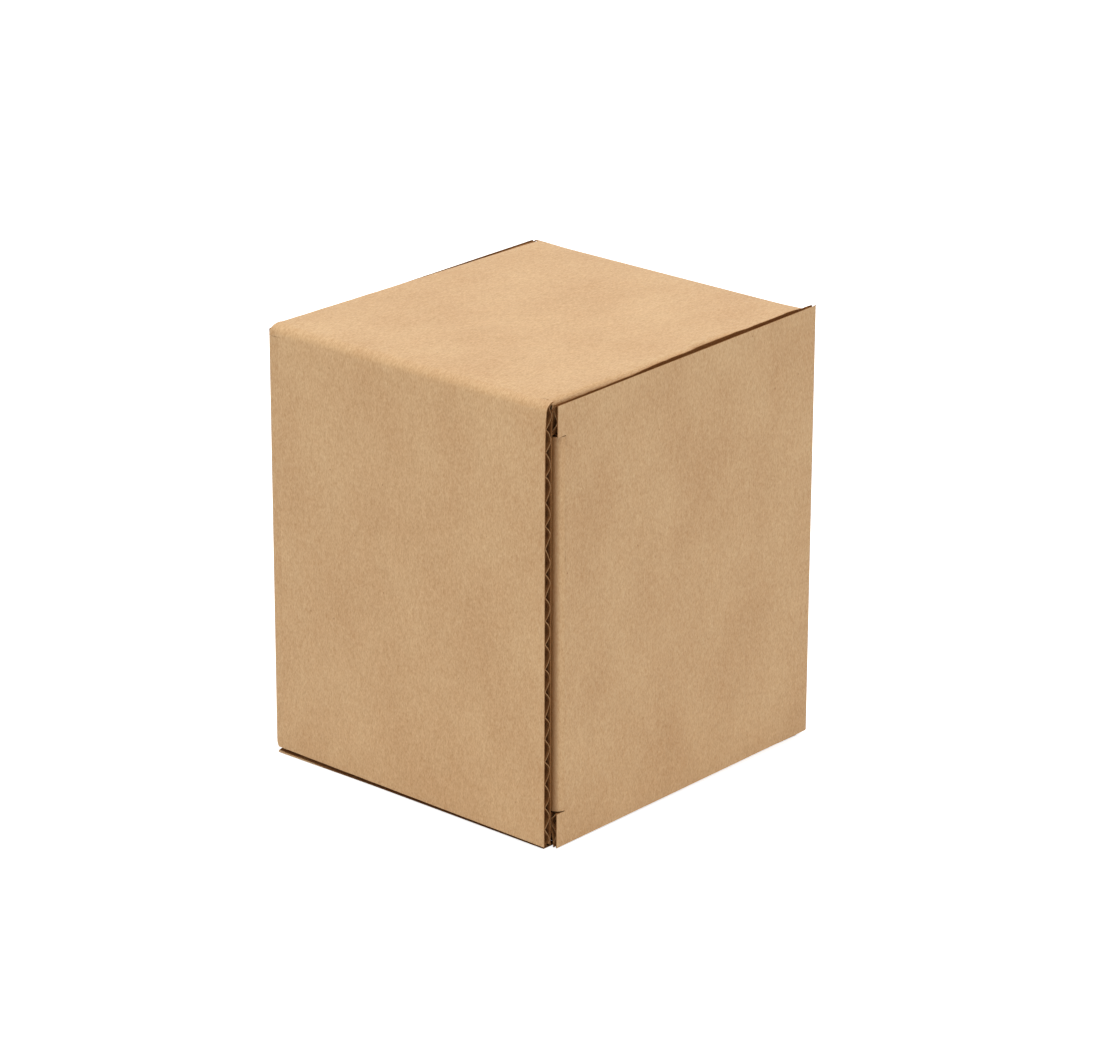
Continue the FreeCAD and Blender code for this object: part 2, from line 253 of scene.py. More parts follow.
def kraft_paper(name, colour, contrast=1.0, roughness=0.55, gloss=0.75):
    material = bpy.data.materials.new(name)
    material.use_nodes = True
    tree = material.node_tree
    shader = tree.nodes["Principled BSDF"]
    place = add_node(tree, "ShaderNodeUVMap", uv_map=BOARD_MAP).outputs[0]

    layers = {layer: stretched_noise(tree, place, *values[:4]) for layer, values in PAPER_LAYERS.items()}
    strengths = {layer: values[4] for layer, values in PAPER_LAYERS.items()}
    tone = 0.5 - sum(strengths.values()) * contrast / 2
    for layer, strength in strengths.items():
        tone = sum_node(tree, "MULTIPLY_ADD", layers[layer], strength * contrast, tone)
    felt = mix_node(tree, tone, lighter(colour, -TONE_STEP), lighter(colour, TONE_STEP))
    ruddy = add_node(tree, "ShaderNodeVectorMath", {0: felt, 1: RUDDY}, operation="MULTIPLY").outputs[0]
    hue = mix_node(tree, stretched_noise(tree, place, *WARM_CLOUDS), felt, ruddy)
    specked = mix_node(tree, sparse_spots(tree, place, **DARK_SPECKS), hue, lighter(colour, SPECK_TONE))
    flecked = mix_node(tree, sparse_spots(tree, place, **PALE_FLECKS), specked, lighter(colour, FLECK_TONE))
    # Painted shade: by the lids' crevice attribute the colour goes towards a dark brown, deep in the crevice
    # beside the raw edge
    crevice = add_node(tree, "ShaderNodeAttribute", attribute_name=CREVICE_SHADE_ATTRIBUTE).outputs["Fac"]
    shaded = mix_node(tree, crevice, flecked, linear(*PAINTED_CREVICE_SHADE_COLOUR))
    tree.links.new(shaded, shader.inputs["Base Color"])

    relief = sum_node(tree, "MULTIPLY_ADD", layers["mottle"], MOTTLE_RELIEF, layers["fibres"])
    raised = add_node(tree, "ShaderNodeBump", {"Height": relief, "Strength": 1.0, "Distance": FELT_HEIGHT})
    tree.links.new(raised.outputs[0], shader.inputs["Normal"])
    shader.inputs["Roughness"].default_value = roughness
    shader.inputs["IOR"].default_value = PAPER_IOR
    shader.inputs["Specular IOR Level"].default_value = gloss
    return material


kraft_liner = kraft_paper("kraft_liner", (215, 169, 113))
kraft_inside = kraft_paper("kraft_inside", (196, 152, 104), contrast=1.2)
cut_paper = kraft_paper("cut_paper", (165, 110, 58), contrast=1.5, roughness=0.9, gloss=0.0)
medium_paper = kraft_paper("medium_paper", (160, 116, 72), contrast=1.2, roughness=0.9, gloss=0.0)
# flute_shade is painted shade: the walls of the slots and the flanks of the medium are darker than the paper,
# for the shade deep in the flutes
flute_shade = kraft_paper("flute_shade", (136, 82, 30), contrast=0.8, roughness=0.9, gloss=0.0)
BOARD_MATERIALS = [kraft_liner, kraft_inside, cut_paper, flute_shade]
print("papers:", [material.name for material in (*BOARD_MATERIALS, medium_paper)])

# %% [markdown]
# ## Folded board as a mesh
#
# Board is a sheet with a thickness, so a small class keeps it as one. Each stretch of board, flat or folded,
# is a grid of points on its outer face, each with its partner on the inner face and its place on the flat
# sheet. Stretches weld where their points meet. Where a grid ends, the board has been cut, and there the
# class makes what a cut shows: the edges of the two liners with an open slot between them, deep where the
# knife crossed the flutes and shallow where it ran along them. Where one piece of board goes on into
# another, across a lid's crease, the edge is closed plainly, and the two pieces share their points.

# %% Small sums
# Places nearer to each other than this are one: points in a line, and edges at a place
SAME = 1e-6
CLOSE = 1e-4


def unit(vector):
    return vector / max(np.linalg.norm(vector), 1e-9)


def ripple(*values):
    """Smooth value between -1 and 1 that wanders without repeating, the same in every run."""
    total = 0.0
    for k, value in enumerate(values):
        waves = (value * 1.7 + k * 2.1, value * 2.9 + 1.3 + k, value * 5.3 + 4.1 * k)
        total += math.sin(waves[0]) + math.sin(waves[1]) + math.sin(waves[2])
    return total / (3 * len(values))


def ease(value):
    """Smooth step from 0 to 1."""
    value = min(1.0, max(0.0, value))
    return value * value * (3 - 2 * value)


def hump(value, start, rise, end, fall):
    """Share that rises from 0 to 1 after a start and falls back to 0 before an end."""
    return ease((value - start) / rise) * ease((end - value) / fall)


def spread(start, end, step):
    """Values from start to end, about a step apart."""
    count = max(1, round(abs(end - start) / step))
    return [start + (end - start) * k / count for k in range(count + 1)]


def both_at(a, b, axis, place, within=CLOSE):
    """Whether both ends of an edge lie at one place along an axis."""
    return max(abs(a[axis] - place), abs(b[axis] - place)) < within


print("a ripple from 0 to 3:", [round(ripple(value), 2) for value in spread(0, 3, 0.5)])


# %% The board class
SLOT_ACROSS = 7.0
SLOT_ALONG = 1.0
SLOT_AT_SLIT = 0.2
RAGGED = 0.09
STRAIGHT_ON = 0.97
SOFT_CORNER = 0.7
OUTSIDE, INSIDE, CUT, SLOT = range(4)

# The inner face and the cuts lie elsewhere on the sheet than the outer face, so that no pattern repeats
INSIDE_SHIFT = 3.0 / MM
CUT_SHIFT = 6.0 / MM
CUT_STEP = 2.0


class Board:
    """Corrugated board. goes_on and slit_end tell an edge's kind, move says how far a point gives inwards."""

    def __init__(self, goes_on, move=lambda point: 0.0, slit_end=lambda a, b: False, slot_across=SLOT_ACROSS):
        self.goes_on, self.move, self.slit_end, self.slot_across = goes_on, move, slit_end, slot_across
        self.numbers = {}
        self.outer, self.inner, self.flat, self.cells = [], [], [], []

    def point(self, outer, inner, flat):
        """Number of a point, which is the same wherever two stretches meet."""
        key = tuple(np.round(outer, 3) + 0.0)
        if key not in self.numbers:
            self.numbers[key] = len(self.outer)
            self.outer.append(np.array(outer, float))
            self.inner.append(np.array(inner, float))
            self.flat.append(flat)
        return self.numbers[key]

    def stretch(self, outer, inner, flat, skip=None):
        """Grid of points: rows along the flutes, columns along the grain."""
        rows, columns = len(outer), len(outer[0])
        numbers = [[self.point(outer[i][j], inner[i][j], flat[i][j]) for j in range(columns)]
                   for i in range(rows)]
        for i in range(rows - 1):
            for j in range(columns - 1):
                if skip and skip(i, j):
                    continue
                cell = [numbers[i][j], numbers[i + 1][j], numbers[i + 1][j + 1], numbers[i][j + 1]]
                self.cells.append([n for k, n in enumerate(cell) if n != cell[k - 1]])

    def cut_edges(self):
        """Edges with board on one side only, each with the cell beside it."""
        beside = {(a, b): cell for cell in self.cells for a, b in zip(cell, cell[1:] + cell[:1])}
        return {(a, b): cell for (a, b), cell in beside.items() if (b, a) not in beside}

    def way_in(self, a, b, cell):
        """Direction from a cut edge into the board."""
        along = unit(self.outer[b] - self.outer[a])
        middle = sum(self.outer[n] for n in cell) / len(cell) - self.outer[a]
        return unit(middle - along * (middle @ along))

    def across(self, n):
        return unit(self.outer[n] - self.inner[n])

    def slot_depth(self, a, b):
        """Deep where the cut crosses the flutes, shallow along them, and hardly open at a knife slit."""
        if self.slit_end(self.outer[a], self.outer[b]):
            return SLOT_AT_SLIT
        along = np.abs(np.array(self.flat[b]) - np.array(self.flat[a]))
        share = unit(along)[1]
        return SLOT_ALONG + (self.slot_across - SLOT_ALONG) * share ** 2

    def slot_walls(self, edges):
        """For each number on a cut edge, how far the bottom of the slot lies from it, and which way in is."""
        sides = {}
        for (a, b), cell in edges.items():
            closed = self.goes_on(self.outer[a], self.outer[b])
            depth = None if closed else self.slot_depth(a, b)
            for n in (a, b):
                sides.setdefault(n, []).append((self.way_in(a, b, cell), depth))
        walls = {}
        for n, found in sides.items():
            if any(depth is None for _, depth in found):
                walls[n] = None
                continue
            (first, d1), (second, d2) = found[0], found[-1]
            inward = unit(first + second)
            cosine = float(first @ second)
            if cosine > STRAIGHT_ON:
                deep = inward * (d1 + d2) / 2
            elif cosine > SOFT_CORNER:
                deep = inward * min(d1, d2)
            else:
                square = 1 - cosine ** 2
                deep = first * (d1 - d2 * cosine) / square + second * (d2 - d1 * cosine) / square
            walls[n] = (deep, inward)
        return walls

    def roughen(self, walls):
        """Cut paper isn't straight to a hair: each liner's edge wanders a little inwards."""
        for n, wall in walls.items():
            if wall is None:
                continue
            u, v = self.flat[n]
            for face, seed in ((self.outer, 0.0), (self.inner, 40.0)):
                amount = RAGGED * (0.5 + 0.5 * ripple(u * 0.9 + seed, v * 1.1 + seed))
                amount *= min(1.0, np.linalg.norm(wall[0]) / SLOT_ALONG) ** 2
                face[n] = face[n] + wall[1] * amount

    def mesh(self, name, turned=False):
        """Closed mesh of the board, in metres. turned puts it at the other end of the carton."""
        edges = self.cut_edges()
        for n, point in enumerate(self.outer):
            shift = self.across(n) * self.move(point)
            self.outer[n] = point - shift
            self.inner[n] = self.inner[n] - shift
        walls = self.slot_walls(edges)
        self.roughen(walls)
        count = len(self.outer)
        points = list(self.outer) + list(self.inner)
        flats = list(self.flat) + [(u + INSIDE_SHIFT, v) for u, v in self.flat]
        faces = [(cell, OUTSIDE) for cell in self.cells]
        faces += [([n + count for n in reversed(cell)], INSIDE) for cell in self.cells]
        rings = {}
        for n, wall in walls.items():
            liner = self.across(n) * LINER
            deep = np.zeros(3) if wall is None else wall[0]
            shown = (self.outer[n] - liner, self.outer[n] - liner + deep,
                     self.inner[n] + liner + deep, self.inner[n] + liner)
            used = (0, 0, 3, 3) if wall is None else (0, 1, 2, 3)
            made = {}
            for k in sorted(set(used)):
                made[k] = len(points)
                points.append(shown[k])
                flats.append((self.flat[n][0] + CUT_SHIFT + shown[k][0], self.flat[n][1] + k * CUT_STEP))
            rings[n] = [n, *(made[k] for k in used), n + count]
        for a, b in edges:
            for k in range(5):
                face = [rings[b][k], rings[a][k], rings[a][k + 1], rings[b][k + 1]]
                face = [n for i, n in enumerate(face) if n != face[i - 1]]
                if len(face) > 2:
                    # Slot walls take flute_shade, a colour of painted shade for the depth of the flutes
                    faces.append((face, CUT if k in (0, 4) else SLOT))
        if turned:
            points = [np.array((-x, -y, z)) for x, y, z in points]
            flats = [(u + TURNED_SHIFT[0], v + TURNED_SHIFT[1]) for u, v in flats]
        return paper_object(name, [tuple(point * MM) for point in points], [face for face, _ in faces],
                            [kind for _, kind in faces], np.array(flats, float) * MM, BOARD_MATERIALS)


print("slots", SLOT_ACROSS, "mm deep across the flutes,", SLOT_ALONG, "mm along them")

# %% [markdown]
# A mesh is only points and faces until it is an object. This last step is the same for board and for its
# medium: it hands over the materials, lays each point at its place on the flat sheet as the UV map, and
# shades smooth everything but the edges that a knife or a die has made.

# %% From points to an object
SHARP_ANGLE = math.radians(38)
TURNED_SHIFT = (1.0 / MM, 0.7 / MM)


def paper_object(name, points, faces, kinds, flats, materials):
    """Object from points in metres, faces with the number of a material for each, and places on the sheet."""
    mesh = bpy.data.meshes.new(name)
    mesh.from_pydata(points, [], faces)
    for material in materials:
        mesh.materials.append(material)
    mesh.polygons.foreach_set("material_index", kinds)
    layer = mesh.uv_layers.new(name=BOARD_MAP)
    loops = np.zeros(len(mesh.loops), np.int32)
    mesh.loops.foreach_get("vertex_index", loops)
    layer.data.foreach_set("uv", flats[loops].ravel())
    mesh.polygons.foreach_set("use_smooth", [True] * len(mesh.polygons))
    mesh.set_sharp_from_angle(angle=SHARP_ANGLE)
    mesh.validate()
    made = bpy.data.objects.new(name, mesh)
    bpy.context.scene.collection.objects.link(made)
    return made


print("edges sharper than", round(math.degrees(SHARP_ANGLE)), "degrees stay sharp")

# %% [markdown]
# ## The tube of the carton
#
# Seen from the end, the tube is one line that starts at the lower edge of the front wall, goes up, over the
# top, down the back, along the bottom, rolls round the nose of the last crease and ends in the glue tab
# inside the front wall. Each point of the line is kept with its partner on the inner face and its distance
# along the sheet. The walls are that line drawn out along X, in bands that stop where the die cut them.

# %% Section of the tube
FLAP_TUCK_EDGE = HALF_Y - 2 * BOARD - TUCK_GAP - 0.65
FLAP_CREASE_EDGE = HALF_Y - WALL_FOLD - 0.03
RAW_WALL_EDGE = FLAP_TUCK_EDGE + 0.4
WINDOW_EDGE = FLAP_CREASE_EDGE + 0.2
FRONT_LOW_RIGHT = 1.25
FRONT_LOW_LEFT = 2.05
NOSE_HIGH = (0.2, 0.85)
NOSE_OUT = (HALF_Y - 1.3, HALF_Y - 0.35)
NOSE_REACH = HALF_Y - 0.6
NOSE_ROUND = 1.0
NOSE_HEIGHT = 2.1
NOSE_STEPS = 5
NOSE_BACK = 1.2
TAB_FACE = HALF_Y - BOARD - 0.05
TAB_CLEAR = 3.4
TAB_BEND = 0.35
TAB_STEP = 7.0
TAB_HEIGHT = 22.0
CELL = 1.25
FOLD_STEPS = 10


def arc(centre, radius, start, end, steps):
    angles = [math.radians(a) for a in spread(start, end, abs(end - start) / steps)]
    return [(centre[0] + radius * math.cos(a), centre[1] + radius * math.sin(a)) for a in angles]


def tube_section():
    """Outer and inner (y, z) points with names for the places where a band may stop."""
    inside_fold = WALL_FOLD - BOARD
    side, flat = HALF_Y - WALL_FOLD, HEIGHT_Z - WALL_FOLD
    outer, inner, marks = [], [], {}

    def run(points, partners, start=None, end=None):
        skip_first = 1 if outer and math.dist(outer[-1], points[0]) < SAME else 0
        if start:
            marks[start] = len(outer) - skip_first
        outer.extend(points[skip_first:])
        inner.extend(partners[skip_first:])
        if end:
            marks[end] = len(outer) - 1

    def walk(reach, z, z_in, stops):
        """Straight stretch along Y, with marks at some of its places."""
        for y, following in zip(reach, reach[1:]):
            run([(y, z), (following, z)], [(y, z_in), (following, z_in)])
            for mark, value in stops.items():
                if abs(following - value) < SAME:
                    marks[mark] = len(outer) - 1

    def fold(centre, start, end):
        run(arc(centre, WALL_FOLD, start, end, FOLD_STEPS), arc(centre, inside_fold, start, end, FOLD_STEPS))

    # Front wall and top wall
    levels = spread(FRONT_LOW_RIGHT, flat, CELL)
    run([(-HALF_Y, z) for z in levels], [(-HALF_Y + BOARD, z) for z in levels], "front_low", "front_high")
    fold((-side, flat), 180, 90)
    marks["top_front"] = len(outer) - 1
    reach = [-side, -FLAP_CREASE_EDGE] + spread(-FLAP_TUCK_EDGE, FLAP_TUCK_EDGE, 2 * CELL)
    walk(reach + [FLAP_CREASE_EDGE, side], HEIGHT_Z, HEIGHT_Z - BOARD,
         {"top_-crease": -FLAP_CREASE_EDGE, "top_+crease": FLAP_CREASE_EDGE})
    marks["top_back"] = len(outer) - 1

    # Back wall and bottom wall
    fold((side, flat), 90, 0)
    levels = spread(flat, WALL_FOLD, 2 * CELL)
    run([(HALF_Y, z) for z in levels], [(HALF_Y - BOARD, z) for z in levels], "back_high", "back_low")
    fold((side, WALL_FOLD), 0, -90)
    marks["bottom_back"] = len(outer) - 1
    marks["fold_low"] = marks["back_low"] + FOLD_STEPS * 2 // 3
    reach = [side, FLAP_CREASE_EDGE, RAW_WALL_EDGE] + spread(FLAP_TUCK_EDGE, -FLAP_TUCK_EDGE, 2 * CELL)
    walk(reach + [-RAW_WALL_EDGE, -FLAP_CREASE_EDGE, -WINDOW_EDGE], 0.0, BOARD,
         {"bottom_+crease": FLAP_CREASE_EDGE, "bottom_+raw": RAW_WALL_EDGE, "bottom_+tuck": FLAP_TUCK_EDGE,
          "bottom_-tuck": -FLAP_TUCK_EDGE, "bottom_-raw": -RAW_WALL_EDGE, "bottom_-crease": -FLAP_CREASE_EDGE,
          "bottom_-window": -WINDOW_EDGE})

    # Nose of the last crease and glue tab, whose inner face stays a plain fold
    marks["nose_low"] = len(outer)
    nose_y = -NOSE_REACH + NOSE_ROUND
    nose = arc((nose_y, NOSE_ROUND), NOSE_ROUND, 270, 180, NOSE_STEPS)
    nose += arc((nose_y, NOSE_HEIGHT - NOSE_ROUND), NOSE_ROUND, 180, 90, NOSE_STEPS)[1:]
    nose += [(-TAB_FACE - TAB_BEND, NOSE_HEIGHT), (-TAB_FACE, NOSE_HEIGHT + TAB_BEND)]
    tab_inside = -TAB_FACE + BOARD
    partner_arc = arc((tab_inside + inside_fold, WALL_FOLD), inside_fold, 270, 180, len(nose) - 2)
    partners = [(-WINDOW_EDGE + NOSE_BACK, BOARD)] + partner_arc
    run(nose, partners[:len(nose)])
    marks["nose_high"] = len(outer) - 1
    for z in [TAB_CLEAR, TAB_STEP] + spread(TAB_STEP, TAB_HEIGHT, 2 * CELL)[1:]:
        run([outer[-1], (-TAB_FACE, z)], [inner[-1], (tab_inside, z)])
        for mark, value in (("tab_clear", TAB_CLEAR), ("tab_step", TAB_STEP), ("tab_high", TAB_HEIGHT)):
            if abs(z - value) < SAME:
                marks[mark] = len(outer) - 1
    return outer, inner, marks


SECTION, SECTION_INSIDE, MARKS = tube_section()
SECTION_LENGTH = [0.0]
for first, second in zip(SECTION, SECTION[1:]):
    SECTION_LENGTH.append(SECTION_LENGTH[-1] + math.dist(first, second))
print("section:", len(SECTION), "points,", round(SECTION_LENGTH[-1], 1), "mm of board round the tube")

# %% [markdown]
# ## Bands of the tube
#
# A band is the section between two marks, drawn out between two places along X. Small changes along X make
# it the box of the photograph. The lower edge of the front wall is a little higher at its left end, so the
# lowest centimetre of the wall is scaled to it. The crease under it is pressed flat at the right and stands
# out as a low nose at the left. The upper left corner is a little fuller and shorter than a plain fold.

# %% Changes along the walls
FRONT_SCALED = 10.0
NOSE_FROM_X = -8.0
NOSE_OVER = 40.0
CORNER_X = HALF_X - 1.15
CORNER_CUT = 1.2
CORNER_FULL = 0.2
CORNER_OVER = 3.0


def nose_share(x):
    """The crease under the front wall stands out only towards its left end."""
    return ease((NOSE_FROM_X - x) / NOSE_OVER)


def between(pair, share):
    """Value at a share of the way between the two of a pair."""
    return pair[0] + (pair[1] - pair[0]) * share


def front_lift(x, z):
    """Height of a point of the front wall, whose lower edge rises towards the left."""
    rise = (FRONT_LOW_LEFT - FRONT_LOW_RIGHT) * (RAW_X - x) / (2 * RAW_X)
    return z + rise * max(0.0, (FRONT_SCALED - z) / (FRONT_SCALED - FRONT_LOW_RIGHT))


def corner_turn(k):
    """Share of the fold over the front wall that lies below a point of the section."""
    return (k - MARKS["front_high"]) / (MARKS["top_front"] - MARKS["front_high"])


print("the nose is at", round(nose_share(-HALF_X), 2), "of its full height at the left end")

# %% [markdown]
# The glue tab is trimmed at both ends, so that the tuck and the dust flaps pass. Past the folds of the dust
# flaps each wall goes on by itself, as far as the die left it: to its raw end, to a crease or to a stub.

# %% Walls and glue tab
TAB_GAP = 0.4
TAB_TAPER = 6.0
WALL_CELL = 3.0


def add_band(board, places, start, end, reach=None):
    """Walls between two marks of the section. reach(x, k) may move a place of the k-th point along X."""
    outer, inner, flat = [], [], []
    for x in places:
        rows = ([], [], [])
        for k in range(MARKS[start], MARKS[end] + 1):
            at = reach(x, k) if reach else x
            (y, z), (y_in, z_in) = SECTION[k], SECTION_INSIDE[k]
            if k <= MARKS["front_high"]:
                z = z_in = front_lift(at, z)
            elif k < MARKS["top_front"] and at < -FLAP_FOLD_X:
                middle = math.sin(math.pi * corner_turn(k))
                full = CORNER_FULL * middle * ease((-at - FLAP_FOLD_X) / CORNER_OVER)
                y, z = max(y - full, -HALF_Y), z + full
            if MARKS["nose_low"] <= k <= MARKS["nose_high"]:
                z *= between(NOSE_HIGH, nose_share(at)) / NOSE_HEIGHT
                if y < -TAB_FACE:
                    out = between(NOSE_OUT, nose_share(at))
                    y = -TAB_FACE + (y + TAB_FACE) * (out - TAB_FACE) / (NOSE_REACH - TAB_FACE)
            rows[0].append((at, y, z))
            rows[1].append((at, y_in, z_in))
            rows[2].append((at, SECTION_LENGTH[k]))
        outer.append(rows[0])
        inner.append(rows[1])
        flat.append(rows[2])
    board.stretch(outer, inner, flat)


def add_tube(board):
    """Walls, folds and tab, as one stretch between the dust flaps' folds and shorter ones beyond them."""
    middle = spread(-FLAP_FOLD_X, FLAP_FOLD_X, WALL_CELL)
    add_band(board, middle, "front_low", "tab_step")
    tab = [x for x in middle if x <= FLAP_FACE - TUCK_LENGTH - TAB_GAP]

    def trimmed(x, k):
        rise = (SECTION[k][1] - TAB_STEP) / (TAB_HEIGHT - TAB_STEP)
        share = (x - tab[0]) / (tab[-1] - tab[0])
        return x + TAB_TAPER * rise * (1 - 2 * share)

    def rounded(x, k):
        share = (-x - FLAP_FOLD_X) / (CORNER_X - FLAP_FOLD_X)
        return x + CORNER_CUT * ease(corner_turn(k)) * share

    add_band(board, tab, "tab_step", "tab_high", trimmed)

    # Each kind of end: how far it reaches along X, and how far apart its points lie
    ends = {"raw": (RAW_X, 1.2), "stub": (FLAP_FACE, 1.4), "corner": (CORNER_X, 1.0),
            "crease": (CREASE_START_X, 1.5)}
    right = {name: spread(FLAP_FOLD_X, stop, step) for name, (stop, step) in ends.items()}
    left = {name: [-x for x in reversed(places)] for name, places in right.items()}
    add_band(board, right["raw"], "front_low", "top_front")
    add_band(board, right["corner"], "top_back", "back_high")
    add_band(board, right["crease"], "back_high", "back_low")
    add_band(board, right["stub"], "back_low", "bottom_back")
    add_band(board, right["stub"], "bottom_-raw", "tab_clear")
    add_band(board, left["raw"], "top_back", "fold_low")
    add_band(board, left["stub"], "fold_low", "bottom_+raw")
    add_band(board, left["crease"], "front_low", "front_high")
    add_band(board, left["corner"], "front_high", "top_front", rounded)
    add_band(board, left["corner"], "bottom_-window", "tab_clear")


print("walls and tab ready to draw out")

# %% [markdown]
# ## Dust flaps
#
# Four flaps fold in from the top and bottom walls, two at each end, and keep dust out behind the lids. Each
# starts at the wall's own points, turns through a quarter circle and runs down to its cut end. Beside the
# lid's tuck the upper flap has a shoulder, and both sides taper, with rounded corners.
#
# The fold of a dust flap bulges out over the flap, and the knife crushed the long edges of the lid to a
# millimetre, so the lid closes over the bulge and only a thin dark line is left between the two. One function
# gives the bulge to the flaps, and the same to the inner face of the lids.

# %% Rims, where flap and lid share a place
RIM_FOLD = 1.5
RIM_BULGE = 1.3
RIM_DEEP = 7.0
RIM_INSIDE = 0.4
RIM_WANDER = 0.1

# The upper right rim shows in the photograph: pressed in over its far half, with a dent near its middle.
# Each has a depth, and a span: where it starts, how fast it comes, where it ends and how fast it goes.
PRESSED = 0.85
PRESSED_SPAN = (-22, 14, 49, 6)
DENT = 1.35
DENT_SPAN = (4, 4, 25, 7)


def rim(along, turned, upper=True):
    """How far the fold of a dust flap stands out past the flap, at a place along the end of the box."""
    if turned or not upper:
        return RIM_BULGE + RIM_WANDER * ripple(along / 4.0)
    pressed = PRESSED * hump(along, *PRESSED_SPAN) + DENT * hump(along, *DENT_SPAN)
    return RIM_BULGE - RIM_WANDER - pressed + 1.2 * RIM_WANDER * ripple(along / 3.0)


def bulge(along, depth, turned, upper=True):
    """The same at a depth below the edge, where it dies out."""
    return rim(along, turned, upper) * (1 - ease((depth - RIM_FOLD) / (RIM_DEEP - RIM_FOLD)))


print("rims stand out", RIM_BULGE, "mm and die out in", RIM_DEEP, "mm")


# %% Dust flap
DUST_LENGTH = 43.0
DUST_TAPER = 3.0
DUST_CORNER = 6.0
DUST_SHOULDER = 2.4
SHOULDER_CLEAR = 0.4
FLAP_CELL = 2.5
FLAP_CORNER_TURN = 0.2


def flap_side(down, edge, shoulder_edge, shoulder):
    """How far a flap reaches to one side at a distance down from its fold."""
    if down <= shoulder - DUST_SHOULDER:
        reach = edge
    elif down <= shoulder:
        reach = between((edge, shoulder_edge), (down - shoulder + DUST_SHOULDER) / DUST_SHOULDER)
    else:
        reach = shoulder_edge - DUST_TAPER * (down - shoulder) / (DUST_LENGTH - shoulder)
    left = DUST_LENGTH - down
    if left < DUST_CORNER:
        reach -= DUST_CORNER - math.sqrt(max(0.0, DUST_CORNER ** 2 - (DUST_CORNER - left) ** 2))
    return reach


def flap_row(turned, upper, down, turn=None):
    """Distance down a flap, and a function with a row's outer and inner (x, depth) at a place along it."""
    if turn is None and down == 0.0:
        return 0.0, lambda at: ((FLAP_FOLD_X, 0.0), (FLAP_FOLD_X, BOARD))

    def on_fold(at):
        out, angle = FLAP_FACE + rim(at, turned, upper), math.radians(turn)
        face = (out - RIM_FOLD * (1 - math.sin(angle)), RIM_FOLD * (1 - math.cos(angle)))
        back = (out - BOARD - RIM_INSIDE * (1 - math.sin(angle)), BOARD + RIM_INSIDE * (1 - math.cos(angle)))
        return face, back

    def on_flap(at):
        x = FLAP_FACE + bulge(at, DUST_FOLD + down, turned, upper)
        return (x, DUST_FOLD + down), (x - BOARD, DUST_FOLD + down)

    return down, on_flap if turn is None else on_fold


def add_dust_flap(board, upper, turned):
    """Flap of the top wall (upper) or the bottom wall, at the right end or, turned, at the left one."""
    if upper:
        names = ("top_-crease", "top_+crease")
    else:
        names = ("bottom_+tuck", "bottom_-crease") if turned else ("bottom_+crease", "bottom_-tuck")
    columns = list(range(MARKS[names[0]], MARKS[names[1]] + 1))
    if turned:
        columns.reverse()
    sign = -1 if turned else 1
    span = [SECTION[k][0] * sign for k in columns]
    tuck_edge = FLAP_CREASE_EDGE if upper else FLAP_TUCK_EDGE
    shoulder = NOTCH_HEIGHT - DUST_FOLD - SHOULDER_CLEAR
    down_steps = [0.4, 1.4, shoulder - DUST_SHOULDER, shoulder - DUST_SHOULDER / 2]
    down_steps += spread(shoulder, DUST_LENGTH - DUST_CORNER, FLAP_CELL)
    corner_turns = spread(0, math.pi / 2, FLAP_CORNER_TURN)[1:]
    down_steps += [DUST_LENGTH - DUST_CORNER * (1 - math.sin(turn)) for turn in corner_turns]
    low, high = min(span), max(span)
    rows = [flap_row(turned, upper, 0.0, turn) for turn in [None] + spread(0, 90, 9)]
    rows += [flap_row(turned, upper, down) for down in down_steps]
    outer, inner, flat = [], [], []
    for down, place in rows:
        tuck = -flap_side(down, tuck_edge, FLAP_TUCK_EDGE, shoulder)
        crease = flap_side(down, FLAP_CREASE_EDGE, FLAP_CREASE_EDGE, shoulder)
        points = ([], [], [])
        for k, y in zip(columns, span):
            at = between((tuck, crease), (y - low) / (high - low))
            face, back = place(at)
            for (x, depth), made in zip((face, back), points):
                made.append((sign * x, sign * at, HEIGHT_Z - depth if upper else depth))
            points[2].append((sign * (face[0] + face[1]), SECTION_LENGTH[k]))
        outer.append(points[0])
        inner.append(points[1])
        flat.append(points[2])
    if turned:
        outer, inner, flat = ([row[::-1] for row in reversed(grid)] for grid in (outer, inner, flat))
    board.stretch(outer, inner, flat)


print("dust flaps", DUST_LENGTH, "mm long")

# %% [markdown]
# ## Softness
#
# Real board isn't flat like glass. The walls dip a little behind their folds, which looks like a softer
# fold, and the panels wander by a tenth of a millimetre or two. The dips are always inwards, so the box
# keeps its size, and they die out towards the cut edges and creases, where pieces meet.

# %% How far the walls give
GIVE_FRONT = (0.34, 0.50)
GIVE_BACK = 0.25
GIVE_REACH = 30.0
GIVE_FADE = 4.5
GIVE_ENDS = 12.0
BESIDE_FOLD = 6.0
WANDER = 0.16
WANDER_Y = HALF_Y - 4.0
WANDER_Z = HEIGHT_Z / 2 - 2.0

# The upper front fold gives in up to the raw end of its wall, over its right half, as a span like a rim's
FRONT_GIVES = (-20, 40, RAW_X + 3, 2)


